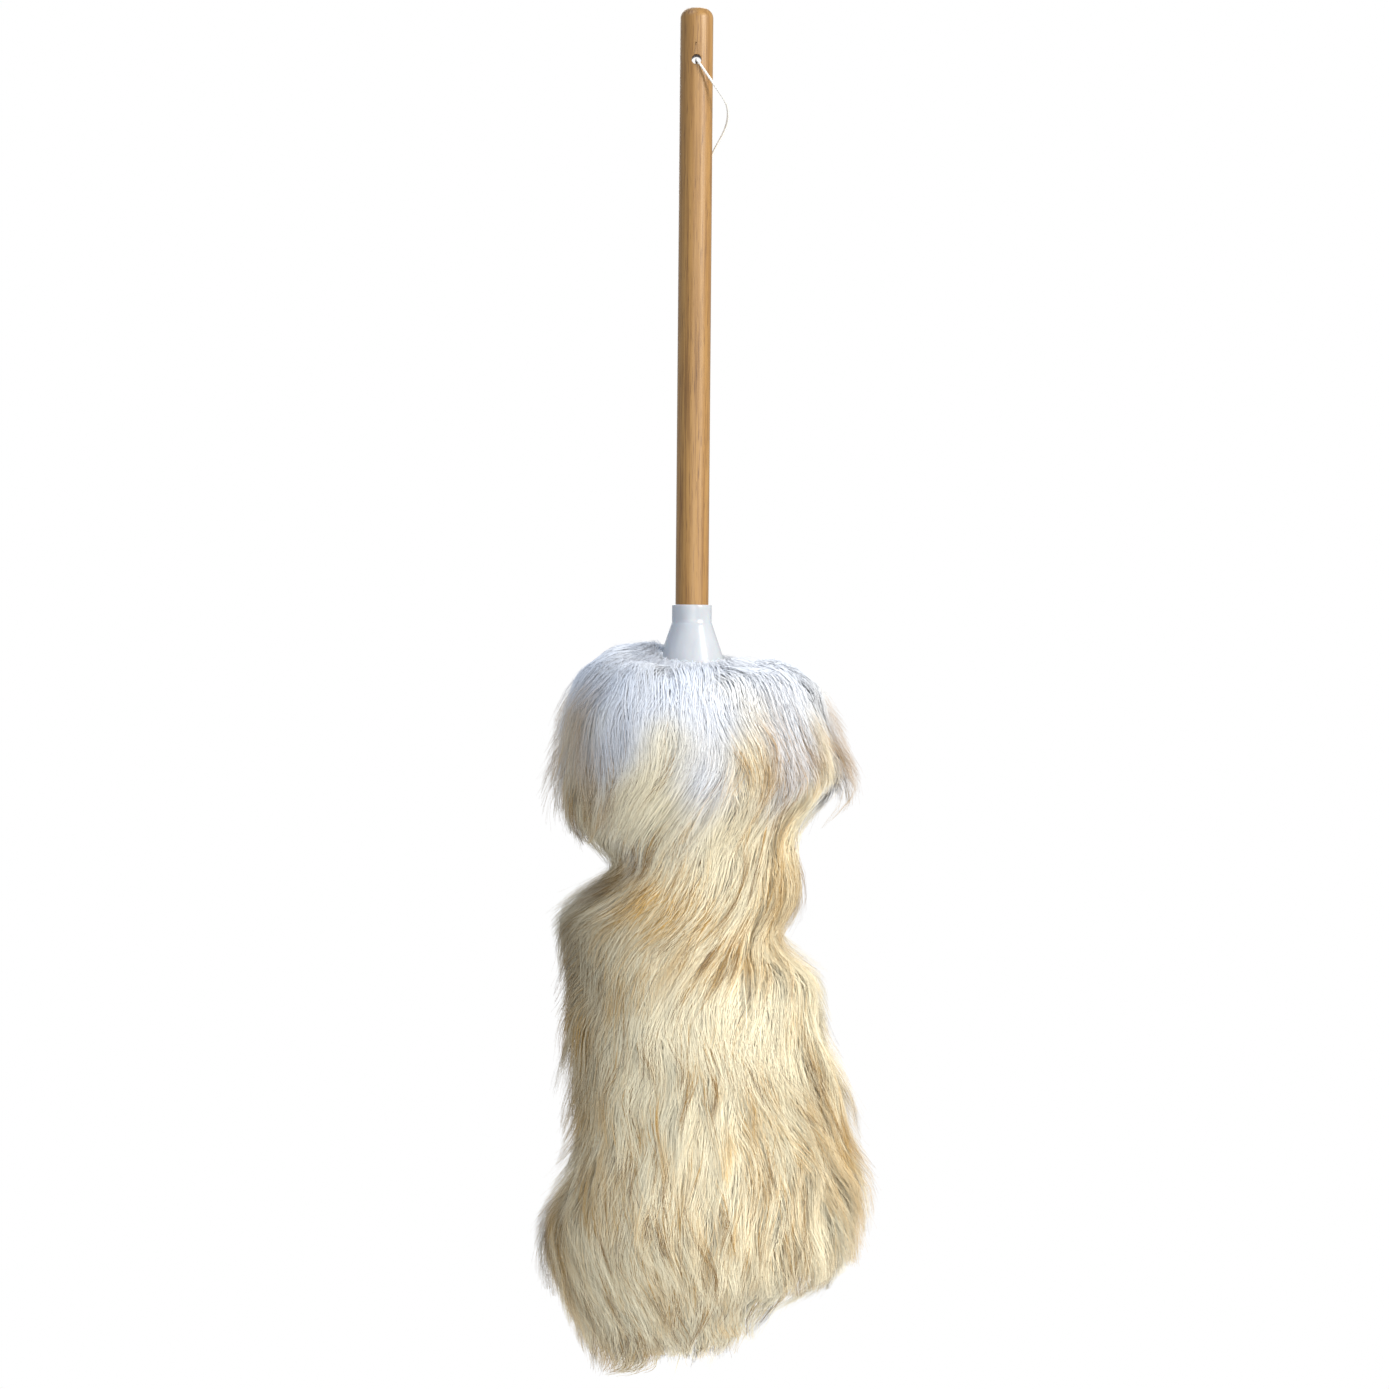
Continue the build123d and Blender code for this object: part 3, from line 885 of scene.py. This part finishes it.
class Groom:
    """Centre lines, radii and colour amounts of all strands of the head.

    A value that belongs to a whole strand is a column, and a value along it has one entry for each ring.
    """

    def __init__(self, shape):
        self.shape = shape
        lock_angle, lock_run = lay_locks(shape)
        self.bend_noise = Waves((48.0, 120.0))
        self.lift_noise = Waves((25.0, 60.0))
        self.colour_noise = Waves((20.0, 70.0))
        of_lock = np.repeat(np.arange(len(lock_angle)), STRANDS_PER_LOCK)
        self.column = (len(of_lock), 1)
        self.along = np.linspace(0, 1, STRAND_RINGS)[None, :]
        drawn = self.draw_locks(lock_angle, lock_run)
        self.lock = {key: values[of_lock, None] for key, values in drawn.items()}
        self.tuft = self.draw_tufts(len(lock_angle), of_lock)
        self.own = {"across": rng.normal(0, 0.42, self.column) * LOCK_SPREAD,
                    "along": rng.normal(0, 0.7, self.column) * LOCK_SPREAD,
                    "up": rng.normal(0, 0.9, self.column)}
        self.flyaway = rng.uniform(size=self.column) < FLYAWAY_SHARE
        self.golden = 0.4 * self.lock["honey"] + 0.6 * self.tuft["honey"]
        self.run_down()
        self.pick_dark_hair()
        self.spread_sideways()
        self.raise_up()
        self.hang()
        self.colour()
        self.thickness()

    def draw_locks(self, angle, run):
        """What the strands of a lock share."""
        locks = len(angle)
        stretch = 1 + CROWN_STRETCH * (1 - smoothstep(0.0, 60.0, run))
        return {
            "angle": angle,
            "run": run,
            "length": LOCK_LENGTH * rng.uniform(0.75, 1.15, locks) * stretch,
            "layer": rng.uniform(-1.0, 0.6, locks),
            "lift": np.clip(rng.normal(2.2, 3.0, locks), 0.0, 9.0),
            "sway": rng.uniform(0.4, 3.0, locks),
            "wave": rng.uniform(36.0, 70.0, locks),
            "phase": rng.uniform(0, 2 * math.pi, locks),
            "slant": rng.normal(0, 0.1, locks),
            "stiff": self.stiff_locks(angle, run),
            "stop": rng.normal(0, 6.0, locks),
            "flick": (rng.uniform(size=locks) < FLICK_SHARE) * rng.uniform(0.45, 1.0, locks) * FLICK_REACH,
            "honey": rng.uniform(0.0, 1.0, locks),
            "shade": rng.normal(0, 0.06, locks),
        }

    def draw_tufts(self, locks, of_lock):
        """What the strands of a tuft share, where each lock has a few tufts."""
        tuft = rng.integers(0, TUFTS_PER_LOCK, len(of_lock))
        size = (locks, TUFTS_PER_LOCK)
        drawn = {
            "across": rng.normal(0, 0.62, size) * LOCK_SPREAD,
            "along": rng.normal(0, 0.9, size) * LOCK_SPREAD,
            "up": rng.normal(0, 1.0, size),
            "length": rng.normal(0, 0.1, size),
            "honey": rng.uniform(0, 1, size),
            "stroke": rng.uniform(0, 1, size),
        }
        return {key: values[of_lock, tuft][:, None] for key, values in drawn.items()}

    def stiff_locks(self, angle, run):
        """Which locks stand off where the head narrows: most at the top skirt's sides, half at the bottom."""
        _, height, _, _ = self.shape.at(angle, run)
        side = smoothstep(0.45, 0.85, np.abs(np.cos(angle)))
        top_skirt = smoothstep(-372, -352, height) * (0.12 + 0.78 * side)
        bottom_skirt = smoothstep(-500, -530, height) * (0.35 + 0.3 * np.cos(angle))
        return (rng.uniform(size=len(angle)) < np.maximum(top_skirt, bottom_skirt)).astype(float)

    def run_down(self):
        """How far each ring has run down the head, and how far the flow carries it sideways."""
        lock = self.lock
        length = lock["length"] * (1 + self.tuft["length"] + rng.normal(0, 0.05, self.column))
        room = self.shape.end_run(lock["angle"]) - lock["run"] + rng.normal(-3.0, 4.0, self.column)
        length = np.maximum(np.minimum(length, room), SHORTEST_STRAND)
        self.loose = 0.15 + 0.85 * smoothstep(20.0, 95.0, lock["run"])
        self.filler = rng.uniform(size=self.column) < FILLER_SHARE
        self.gather = smoothstep(0.3, 1.0, self.along) * self.loose * np.where(self.filler, 0.35, 1.0)
        stagger = (self.tuft["along"] + self.own["along"]) * (1 - 0.55 * self.gather)
        self.run = np.maximum(lock["run"] + stagger + length * self.along, 0.0)
        self.radius, self.height, _, _ = self.shape.at(lock["angle"], self.run)
        swing = self.bend_noise(*np.moveaxis(from_polar(self.radius, lock["angle"], self.height), 2, 0))
        own_lean = (lock["slant"] + FLOW_SWING * swing) * smoothstep(-295, -345, self.height)
        step = np.diff(self.run, axis=1, prepend=self.run[:, :1])
        self.drift = -np.cumsum(step * (lean_at(self.height) + own_lean), axis=1)

    def pick_dark_hair(self):
        """Dark hairs that lie over their lock and thin tufts with a dark end, most where ends are coloured."""
        radius, height = self.radius[:, -1:], self.height[:, -1:]
        angle = self.lock["angle"] + self.drift[:, -1:] / np.maximum(radius, NARROWEST_RADIUS)
        honey, _ = coloured_ends_at(radius * np.cos(angle), radius * np.sin(angle), height)
        below_crown = smoothstep(-316, -350, height)
        chance = 0.004 + 0.035 * honey + 0.02 * (self.golden > 0.7) * smoothstep(-320, -360, height)
        stroke_chance = STROKE_SHARE + STROKE_SHARE_IN_COLOUR * honey
        self.guard = (rng.uniform(size=self.column) < chance * below_crown).astype(float)
        self.stroke = (self.tuft["stroke"] < stroke_chance * below_crown).astype(float)

    def spread_sideways(self):
        """Strands spread over their lock and gather towards its point, with a sway of the whole lock."""
        lock, s = self.lock, self.along
        pointed = np.maximum(0.64 + 0.26 * (lock["flick"] > 0), 0.9 * self.stroke)
        narrow = 0.8 + 0.14 * self.stroke
        sway = lock["sway"] * np.sin(2 * math.pi * self.run / lock["wave"] + lock["phase"])
        sideways = (self.tuft["across"] * (1 - pointed * self.gather)
                    + self.own["across"] * (1 - narrow * self.gather) + sway * smoothstep(0.0, 0.5, s))
        fly = self.flyaway * rng.normal(0, 3.0, self.column) * s ** 2
        self.angle = lock["angle"] + (self.drift + sideways + fly) / np.maximum(self.radius, NARROWEST_RADIUS)

    def raise_up(self):
        """How far strands lie from the head's surface: roots deep, locks layered, some ends lifted."""
        lock, s = self.lock, self.along
        self.radius, self.height, self.out_r, self.out_z = self.shape.at(self.angle, self.run)
        depth = -ROOT_DEPTH * (1 - s) ** 1.6 * smoothstep(0.0, 60.0, lock["run"] + 8.0)
        depth = depth - SURFACE_INSET * smoothstep(-4.0, 28.0, self.run) + lock["layer"] * self.loose
        depth = depth + (self.tuft["up"] * 0.25 + self.own["up"] * 0.4) * (1.1 - 0.6 * self.gather) * self.loose
        depth = depth + GUARD_LIFT * np.maximum(self.guard, 0.8 * self.stroke) * smoothstep(0.3, 0.7, s)
        depth = depth - FILLER_DEPTH * self.filler
        level, across = self.height[:, -1:], np.cos(self.angle[:, -1:])
        in_skirt = smoothstep(-305, -335, level) * smoothstep(-400, -370, level)
        lift = lock["lift"] * (0.38 + 0.62 * across ** 2) * (1 - 0.45 * in_skirt * across ** 2)
        depth = depth + lift * smoothstep(-296, -330, level) * s ** 2
        flick_zone = smoothstep(-303, -316, level) * smoothstep(-378, -368, level)
        flick_zone = np.maximum(flick_zone, 0.8 * smoothstep(-486, -500, level))
        self.flick = lock["flick"] * smoothstep(0.55, 0.85, np.abs(across)) * flick_zone
        depth = depth + self.flick * smoothstep(0.4, 1.0, s) ** 1.5
        depth = depth + self.flyaway * np.abs(rng.normal(0, 2.6, self.column)) * s ** 2
        rough = self.place(depth)
        self.points = self.place(depth + 0.9 * self.lift_noise(*np.moveaxis(rough, 2, 0)))
        self.normals = from_polar(self.out_r, self.angle, self.out_z)

    def place(self, depth):
        """Points at a depth from the surface, outside the collar and the core, and not below the tip."""
        z = self.height + self.out_z * depth
        r = np.maximum(self.radius + self.out_r * depth, collar_radius(z) + 0.6)
        soft_from = LOWEST_Z + SOFT_END
        z = np.where(z < soft_from, soft_from - SOFT_END * np.tanh((soft_from - z) / SOFT_END), z)
        return from_polar(np.maximum(r, CORE_RADIUS), self.angle, z)

    def hang(self):
        """Limits how fast strands turn inwards, then cuts them where their skirt ends."""
        x, y, z = (self.points[:, :, k].copy() for k in range(3))
        stiff = self.lock["stiff"] > 0
        inward = np.where(stiff, STIFF_INWARD, LIMP_INWARD)
        radius = np.hypot(x, y)
        turn = np.arctan2(y, x)
        for k in range(2, STRAND_RINGS):
            dr = radius[:, k:k + 1] - radius[:, k - 1:k]
            dz = z[:, k:k + 1] - z[:, k - 1:k]
            length = np.hypot(dr, dz)
            limited = np.maximum(dr, -inward * length)
            change = limited - dr
            radius[:, k:] += change
            z[:, k:] += (-np.sqrt(np.maximum(length ** 2 - limited ** 2, 0)) - dz) * (change > 0)
        points = from_polar(radius, turn, z)
        x, _, z = np.moveaxis(points, 2, 0)
        start, end, end_x = z[:, :1], z[:, -1:], x[:, -1:]
        upper = start > -380
        stop = np.where(upper, np.where(end_x > 0, *TOP_SKIRT_STOP), np.where(end_x > 0, *BOTTOM_SKIRT_STOP))
        hanging = np.interp(end_x, TIP_X, TIP_Z) + 0.6 * self.lock["stop"] + 1.0
        in_skirt = stiff & (upper | (end < -560))
        stop = np.where(in_skirt, np.maximum(stop + self.lock["stop"], hanging), hanging)
        stop = np.minimum(stop, start - 12.0)
        share = np.clip((start - stop) / np.maximum(start - end, 1.0), 0.1, 1.0)
        place = self.along * share * (STRAND_RINGS - 1)
        low = np.minimum(place.astype(int), STRAND_RINGS - 2)
        part = (place - low)[:, :, None]
        row = np.arange(len(points))[:, None]
        self.points = points[row, low] * (1 - part) + points[row, low + 1] * part

    def colour(self):
        """Amounts of honey, dark, warmth and shade for each ring."""
        s = self.along
        x, y, z = np.moveaxis(self.points, 2, 0)
        honey_along, brown_along = coloured_ends_at(x, y, z)
        noise = self.colour_noise(x, y, z)
        end_z = z[:, -1:]
        patch = 0.5 + 0.5 * np.clip(noise[:, -1:], -1, 1)
        general = (0.15 + 0.75 * smoothstep(-330, -385, end_z)) * smoothstep(0.58, 0.78, self.golden) + 0.03
        general = general * (0.3 + 0.7 * patch) * rng.uniform(0.75, 1.15, self.column)
        start = 0.62 + rng.uniform(-0.08, 0.08, self.column)
        region = honey_along * (0.3 + smoothstep(0.42, 0.68, self.golden)) * smoothstep(0.2, 0.6, s)
        tipped = np.clip(self.flick / FLICK_REACH, 0, 1) * smoothstep(-308, -322, end_z)
        coloured_level = smoothstep(-308, -338, z)
        self.honey = np.clip(general * smoothstep(start, start + 0.3, s) + region, 0, 1)
        self.honey = np.maximum(self.honey, 0.85 * tipped * smoothstep(0.62, 0.9, s))
        self.honey = np.maximum(self.honey, 0.95 * self.stroke * smoothstep(0.35, 0.65, s) * coloured_level)
        lock_dark = np.clip(brown_along[:, -1:] * (0.25 + 1.8 * smoothstep(0.5, 0.7, self.golden)), 0, 1)
        lock_dark = np.maximum(lock_dark, 0.7 * tipped) * rng.uniform(0.3, 1.0, self.column)
        lock_dark = lock_dark * smoothstep(0.66, 0.97, s)
        hair_dark = self.guard * rng.uniform(0.5, 1.0, self.column) * smoothstep(0.4, 0.75, s)
        stroke_dark = self.stroke * rng.uniform(0.5, 1.0, self.column) * smoothstep(0.45, 0.85, s)
        self.dark = np.clip(np.maximum(lock_dark, np.maximum(hair_dark, stroke_dark) * coloured_level), 0, 1)
        # Warmth runs from the white with painted cool sky shade at the crown to the wool's cream lower down.
        self.warmth = np.clip(0.06 + 0.86 * smoothstep(-302, -388, z + 18 * noise), 0, 1)
        # Shade: random tone of each lock, less painted shade where the wool lies in shadow behind other locks.
        shade = np.clip(0.95 + 0.5 * self.lock["shade"] + rng.normal(0, 0.03, self.column), 0, 1)
        self.shade = shade - painted_shade_at(x, y, z)

    def thickness(self):
        base = ROOT_RADIUS * rng.uniform(0.75, 1.2, self.column) * np.where(self.flyaway, 0.6, 1.0)
        base = base * np.where(self.guard > 0, 1.15, 1.0)
        self.radii = np.maximum(base * (1 - smoothstep(0.35, 1.0, self.along) * 0.9), TIP_RADIUS)


def strand_rings(points, normals):
    """Offsets of each ring's vertices from the centre line: a low ridge outwards, then down each side."""
    tangent = np.gradient(points, axis=1)
    tangent /= np.linalg.norm(tangent, axis=2, keepdims=True) + 1e-9
    across = np.cross(tangent, normals)
    across /= np.linalg.norm(across, axis=2, keepdims=True) + 1e-9
    up = np.cross(across, tangent)
    turn = (around(STRAND_SIDES) + math.pi / 2)[None, None, :, None]
    return across[:, :, None, :] * np.cos(turn) + up[:, :, None, :] * np.sin(turn) * STRAND_FLATNESS


def strand_loops(count, rings):
    """Vertex indices of all faces, one row for each strand, and the size of each face in a row."""
    base = (np.arange(count) * rings * STRAND_SIDES)[:, None]
    sides = np.array(lathe_faces(rings, STRAND_SIDES))[:, [0, 3, 2, 1]].reshape(1, -1)
    start_cap = np.arange(STRAND_SIDES)[None, :]
    end_cap = start_cap[:, ::-1] + (rings - 1) * STRAND_SIDES
    loops = base + np.concatenate([sides, start_cap, end_cap], 1)
    return loops, np.r_[np.full((rings - 1) * STRAND_SIDES, 4), STRAND_SIDES, STRAND_SIDES]


def strand_mesh(name, points, normals, radii, amounts, material):
    """One mesh of closed three-sided strands, with colour amounts and a strand-by-strand UV map."""
    count, rings, _ = points.shape
    ring = strand_rings(points, normals)
    verts = (points[:, :, None, :] + ring * radii[:, :, None, None]).reshape(-1, 3) * MM
    loops, sizes = strand_loops(count, rings)
    totals = np.tile(sizes, count)
    mesh = bpy.data.meshes.new(name)
    mesh.vertices.add(len(verts))
    mesh.vertices.foreach_set("co", verts.astype(np.float32).ravel())
    mesh.loops.add(loops.size)
    mesh.loops.foreach_set("vertex_index", loops.ravel().astype(np.int32))
    mesh.polygons.add(len(totals))
    mesh.polygons.foreach_set("loop_start", np.r_[0, np.cumsum(totals)[:-1]].astype(np.int32))
    mesh.polygons.foreach_set("loop_total", totals.astype(np.int32))
    mesh.polygons.foreach_set("use_smooth", np.ones(len(totals), bool))
    mesh.update(calc_edges=True)
    for key, values in amounts.items():
        everywhere = np.broadcast_to(values, radii.shape)
        layer = mesh.attributes.new(key, "FLOAT", "POINT")
        layer.data.foreach_set("value", np.repeat(everywhere.ravel(), STRAND_SIDES).astype(np.float32))
    strand_uv(mesh, loops, count, rings)
    shell = np.broadcast_to(normals[:, :, None, :], ring.shape)
    soft = ring * (1 - SHELL_SHARE_OF_NORMAL) + shell * SHELL_SHARE_OF_NORMAL
    soft = (soft / np.linalg.norm(soft, axis=3, keepdims=True)).reshape(-1, 3)
    mesh.normals_split_custom_set_from_vertices(soft.astype(np.float32))
    mesh.materials.append(material)
    return link_object(name, mesh)


def strand_uv(mesh, loops, count, rings):
    """Each strand has its own small cell of the map, and its sides share the cell."""
    cells = int(math.ceil(math.sqrt(count)))
    strand = np.repeat(np.arange(count), loops.shape[1])
    local = loops.ravel() % (rings * STRAND_SIDES)
    along = (local // STRAND_SIDES) / (rings - 1)
    side = (local % STRAND_SIDES) / (STRAND_SIDES - 1)
    u = (strand % cells + UV_INSET + side * (1 - 2 * UV_INSET)) / cells
    v = (strand // cells + UV_INSET + along * (1 - 2 * UV_INSET)) / cells
    layer = mesh.uv_layers.new(name="OFBake")
    layer.data.foreach_set("uv", np.stack([u, v], 1).astype(np.float32).ravel())


def build_wool(shape, material):
    """The head's strands, split into pieces from the crown to the tip."""
    groom = Groom(shape)
    faces_each = (STRAND_RINGS - 1) * STRAND_SIDES * 2 + 2 * (STRAND_SIDES - 2)
    total = len(groom.points)
    number = math.ceil(total / (FACES_PER_PIECE // faces_each))
    edges = np.linspace(0, total, number + 1).astype(int)
    made = []
    for index, (a, b) in enumerate(zip(edges[:-1], edges[1:])):
        amounts = {key: getattr(groom, key)[a:b] for key in ("honey", "dark", "warmth", "shade")}
        made.append(strand_mesh(f"wool_locks_{index + 1:02d}", groom.points[a:b], groom.normals[a:b],
                                groom.radii[a:b], amounts, material))
    return made


UNDERWOOL_SEGMENTS = 300
UNDERWOOL_ROWS = 150
UNDERWOOL_DEPTH = 6.5
UNDERWOOL_END_DEPTH = 12.0
UNDERWOOL_SHORT = 14.0
BORE_GAP = 0.6


def build_underwool(shape, material):
    """The dense wool under the locks: a closed shape that follows the head, with a bore for the winding."""
    angles = around(UNDERWOOL_SEGMENTS)
    ridge = Waves((7.0, 16.0), 12)
    grain = Waves((3.0, 7.0), 14)
    end_run = shape.end_run(angles)
    end_r, end_z, _, _ = shape.at(angles, end_run)
    short = np.maximum(np.interp(end_r * np.cos(angles), TIP_X, TIP_Z) - end_z, 0.0) + UNDERWOOL_SHORT
    rows = []
    for share in np.linspace(0, 1, UNDERWOOL_ROWS):
        run = share * (end_run - short)
        radius, z, out_r, out_z = shape.at(angles, run)
        x, y = radius * np.cos(angles), radius * np.sin(angles)
        inset = UNDERWOOL_DEPTH * smoothstep(-8.0, 46.0, run) + UNDERWOOL_END_DEPTH * smoothstep(-535, -605, z)
        depth = -inset - 1.0 + 0.5 * ridge(x * 2.2, y * 2.2, z * 0.3) + 0.35 * grain(x, y, z * 0.1)
        r = np.maximum(radius + out_r * depth, collar_radius(z) + 0.5)
        rows.append(from_polar(np.maximum(r, CORE_RADIUS + 0.1), angles, z + out_z * depth))
    end, centre = rows[-1], rows[-1].mean(0)
    rows += [centre + (end - centre) * shrink for shrink in (0.75, 0.45, 0.15, 0.001)]
    strip_low, strip_high = box_mm("hide_strip")
    tuft_low, tuft_high = box_mm("end_patch_wool")
    tuft, floor = tuft_high[0] + BORE_GAP, tuft_low[2] - BORE_GAP
    core, step = strip_high[0] + 1.1, strip_low[2] + 0.5
    bore = [(0.001, floor), (tuft, floor), (tuft, step), (core, step), (core, box_mm("collar")[0][2] - 1.0)]
    rows += [from_polar(r, angles, z) for r, z in bore]
    faces = lathe_faces(len(rows), UNDERWOOL_SEGMENTS, closed_profile=True)
    underwool = new_mesh("underwool", np.concatenate(rows), faces, material)
    merge_close(underwool, 0.02)
    x, y, z = np.array([v.co for v in underwool.data.vertices]).T / MM
    streak = np.clip(grain(x, y, z * 0.1), -2, 2)
    # The underwool's low shade is painted shade, as it lies under the locks; its streaks are grain.
    values = {"warmth": smoothstep(-302, -405, z) * 0.85 + 0.05,
              "honey": (0.12 + 0.1 * np.maximum(streak, 0)) * smoothstep(-340, -420, z),
              "dark": np.zeros(len(z)), "shade": 0.76 + 0.1 * streak}
    for key, value in values.items():
        underwool.data.attributes.new(key, "FLOAT", "POINT").data.foreach_set("value", value.astype(np.float32))
    return underwool


def loose_hair(name, points, normals, thickness, amounts, material):
    """Hair outside the groom, from centre lines and one thickness for all strands."""
    radii = np.broadcast_to(np.maximum(thickness, TIP_RADIUS), points.shape[:2])
    return strand_mesh(name, points, normals, radii, amounts, material)


FRINGE_STRANDS = 4600
FRINGE_GAP = 0.6
FRINGE_SWING = 0.16
FRINGE_OUT = 0.55


def build_collar_fringe(material):
    """Short hair that rises against the bell and falls outwards, so that the wool closes on the collar."""
    bell_end = box_mm("collar")[0][2]
    s = np.linspace(0, 1, STRAND_RINGS)[None, :]
    column = (FRINGE_STRANDS, 1)
    turn = rng.uniform(0, 2 * math.pi, column)
    crest = np.array([crown_height(t) for t in turn[:, 0]])[:, None]
    length = rng.uniform(5.0, 27.0, column)
    root_z = np.maximum(crest - CROWN_DIP - rng.uniform(0.5, 5.0, column), bell_end + 0.3)
    top_z = crest + rng.normal(-0.6, 0.7, column)
    z = root_z + (top_z - root_z) * np.sin(np.clip(1.2 * s, 0, 1) * math.pi / 2)
    z = z - (2.0 + 0.2 * length) * smoothstep(0.45, 1.0, s)
    r = collar_radius(root_z) + FRINGE_GAP + length * s ** 1.4
    r = np.maximum(r, collar_radius(np.maximum(z, bell_end + 0.1)) + FRINGE_GAP)
    swing = turn + rng.normal(0, FRINGE_SWING, column) * s
    amounts = {"honey": 0.02, "dark": 0.0, "warmth": 0.06, "shade": rng.uniform(0.88, 1.0, column)}
    normals = from_polar(FRINGE_OUT, swing, math.sqrt(1 - FRINGE_OUT ** 2))
    thickness = 0.22 * (1 - 0.8 * s)
    return loose_hair("collar_fringe", from_polar(r, swing, z), normals, thickness, amounts, material)


TUFT_STRANDS = 900
TUFT_ROOT = 4.2
TUFT_SPREAD = 5.2


def build_end_tuft(material):
    """The tuft of the patch on the dowel's end: short strands that hang from the hide disc."""
    low, high = box_mm("end_patch_wool")
    s = np.linspace(0, 1, STRAND_RINGS)[None, :]
    column = (TUFT_STRANDS, 1)
    turn = rng.uniform(0, 2 * math.pi, column)
    spread = np.sqrt(rng.uniform(0.0, 1.0, column))
    root_r = TUFT_ROOT + spread * TUFT_SPREAD
    tip_r = 1.0 + spread * (high[0] - 2.2)
    fall = (high[2] - low[2] - 1.0) * rng.uniform(0.75, 1.0, column) * (1 - 0.35 * spread ** 3)
    r = root_r + (tip_r - root_r) * np.sin(s * math.pi / 2)
    z = high[2] - 0.3 - fall * s ** 1.2
    swing = turn + rng.normal(0, 0.15, column) * s
    amounts = {"honey": 0.15 * s, "dark": 0.0, "warmth": 0.8, "shade": rng.uniform(0.8, 0.95, column)}
    normals = from_polar(1.0, swing, 0.0)
    return loose_hair("end_tuft", from_polar(r, swing, z), normals, 0.4 * (1 - 0.75 * s), amounts, material)


# ---------------------------------------------------------------- stage, camera and light

CAMERA_SIDE = 0.0016
CAMERA_HEIGHT_SHARE = 0.4951
CAMERA_MARGIN = 1.0215
CAMERA_DISTANCE = 3.2
CAMERA_ROLL = math.radians(0.48)
SENSOR_WIDTH = 36.0

# Soft lights: place, size, power, colour.
LIGHT_AIM = (0.0, 0.0, -0.35)
LIGHTS = {
    "key": ((1.7, -1.3, 0.6), 0.9, 58.0, (1.0, 0.96, 0.88)),
    "front": ((0.3, -2.4, 0.1), 1.6, 24.0, (1.0, 0.975, 0.93)),
    "sky": ((-0.8, -0.6, 1.7), 1.4, 15.0, (0.60, 0.76, 1.0)),
    "back": ((-0.3, 1.8, 0.7), 1.4, 20.0, (1.0, 0.98, 0.95)),
}


def build_camera():
    """A long lens square to the front of the duster, with the photo's slight roll."""
    low, high = size_of_cad
    height = high.z - low.z
    place = Vector((CAMERA_SIDE, -CAMERA_DISTANCE, low.z + height * CAMERA_HEIGHT_SHARE))
    camera = bpy.data.cameras.new("camera")
    camera.sensor_width = SENSOR_WIDTH
    camera.lens = SENSOR_WIDTH * CAMERA_DISTANCE / (height * CAMERA_MARGIN)
    camera.clip_end = 50.0
    obj = link_object("camera", camera)
    obj.matrix_world = (Matrix.Translation(place) @ Matrix.Rotation(math.pi / 2, 4, "X")
                        @ Matrix.Rotation(CAMERA_ROLL, 4, "Z"))
    bpy.context.scene.camera = obj


def build_light():
    for name, (place, size, power, colour) in LIGHTS.items():
        light = bpy.data.lights.new(name, "AREA")
        light.shape = "SQUARE"
        light.size = size
        light.energy = power
        light.color = colour
        obj = link_object(name, light)
        obj.location = place
        obj.rotation_euler = (Vector(LIGHT_AIM) - Vector(place)).to_track_quat("-Z", "Y").to_euler()
        obj.visible_camera = False


def build_world():
    """A plain white background for the camera and a dimmer, cooler one for the light it gives."""
    world = bpy.data.worlds.new("studio")
    bpy.context.scene.world = world
    world.use_nodes = True
    tree = world.node_tree
    tree.nodes.clear()
    out, given, seen, path, mix = (tree.nodes.new(f"ShaderNode{kind}") for kind in
                                   ("OutputWorld", "Background", "Background", "LightPath", "MixShader"))
    given.inputs["Color"].default_value = (0.86, 0.92, 1.0, 1)
    given.inputs["Strength"].default_value = 0.5
    seen.inputs["Color"].default_value = (1, 1, 1, 1)
    tree.links.new(path.outputs["Is Camera Ray"], mix.inputs[0])
    tree.links.new(given.outputs[0], mix.inputs[1])
    tree.links.new(seen.outputs[0], mix.inputs[2])
    tree.links.new(mix.outputs[0], out.inputs["Surface"])


FLOOR_DROP = 0.12
FLOOR_RADIUS = 0.85
FLOOR_SEGMENTS = 96


def build_floor():
    """A plain pale disc below the head that fades into the white background."""
    level = size_of_cad[0].z - FLOOR_DROP
    profile = [(radius / MM, level / MM) for radius in (0.001, FLOOR_RADIUS * 0.5, FLOOR_RADIUS)]
    n = Nodes("floor_look")
    length = n.add("ShaderNodeVectorMath", operation="LENGTH")
    n.link(n.object_point((1.0, 1.0, 0.0)), length.inputs[0])
    fade = n.remap(length.outputs["Value"], FLOOR_RADIUS * 0.35, FLOOR_RADIUS * 0.97, 1.0, 0.0)
    n.set(Base_Color=(0.92, 0.92, 0.92), Roughness=0.6, Alpha=fade)
    new_mesh("floor", lathe_rings(profile, FLOOR_SEGMENTS), lathe_faces(len(profile), FLOOR_SEGMENTS),
                      n.material)


def stand_in(obj, body, node):
    """Lets a piece ride on a body and be seen in place of a CAD node."""
    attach(obj, body)
    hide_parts(node)


# ---------------------------------------------------------------- the scene

steel = steel_material()
hide = hide_material()
wool = wool_material()

for node, look in (("collar_nail", steel), ("top_staples", steel), ("bottom_staples", steel),
                   ("end_tack", steel), ("hide_strip", hide), ("end_patch_hide", hide)):
    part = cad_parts[node]
    part.data.materials.clear()
    part.data.materials.append(look)

stand_in(build_handle(wood_material()), BODY_DUSTER, "handle")
stand_in(build_collar(plastic_material()), BODY_DUSTER, "collar")
stand_in(build_cord(cord_material()), BODY_CORD, "hanging_cord")

shape = Shape()
underwool = build_underwool(shape, wool)
for piece in [underwool, *build_wool(shape, wool), build_collar_fringe(wool)]:
    stand_in(piece, BODY_DUSTER, "wool_pile")
stand_in(build_end_tuft(wool), BODY_DUSTER, "end_patch_wool")

build_floor()
build_world()
build_light()
build_camera()
bpy.context.scene.view_settings.view_transform = "Standard"
bpy.context.scene.cycles.diffuse_bounces = 8
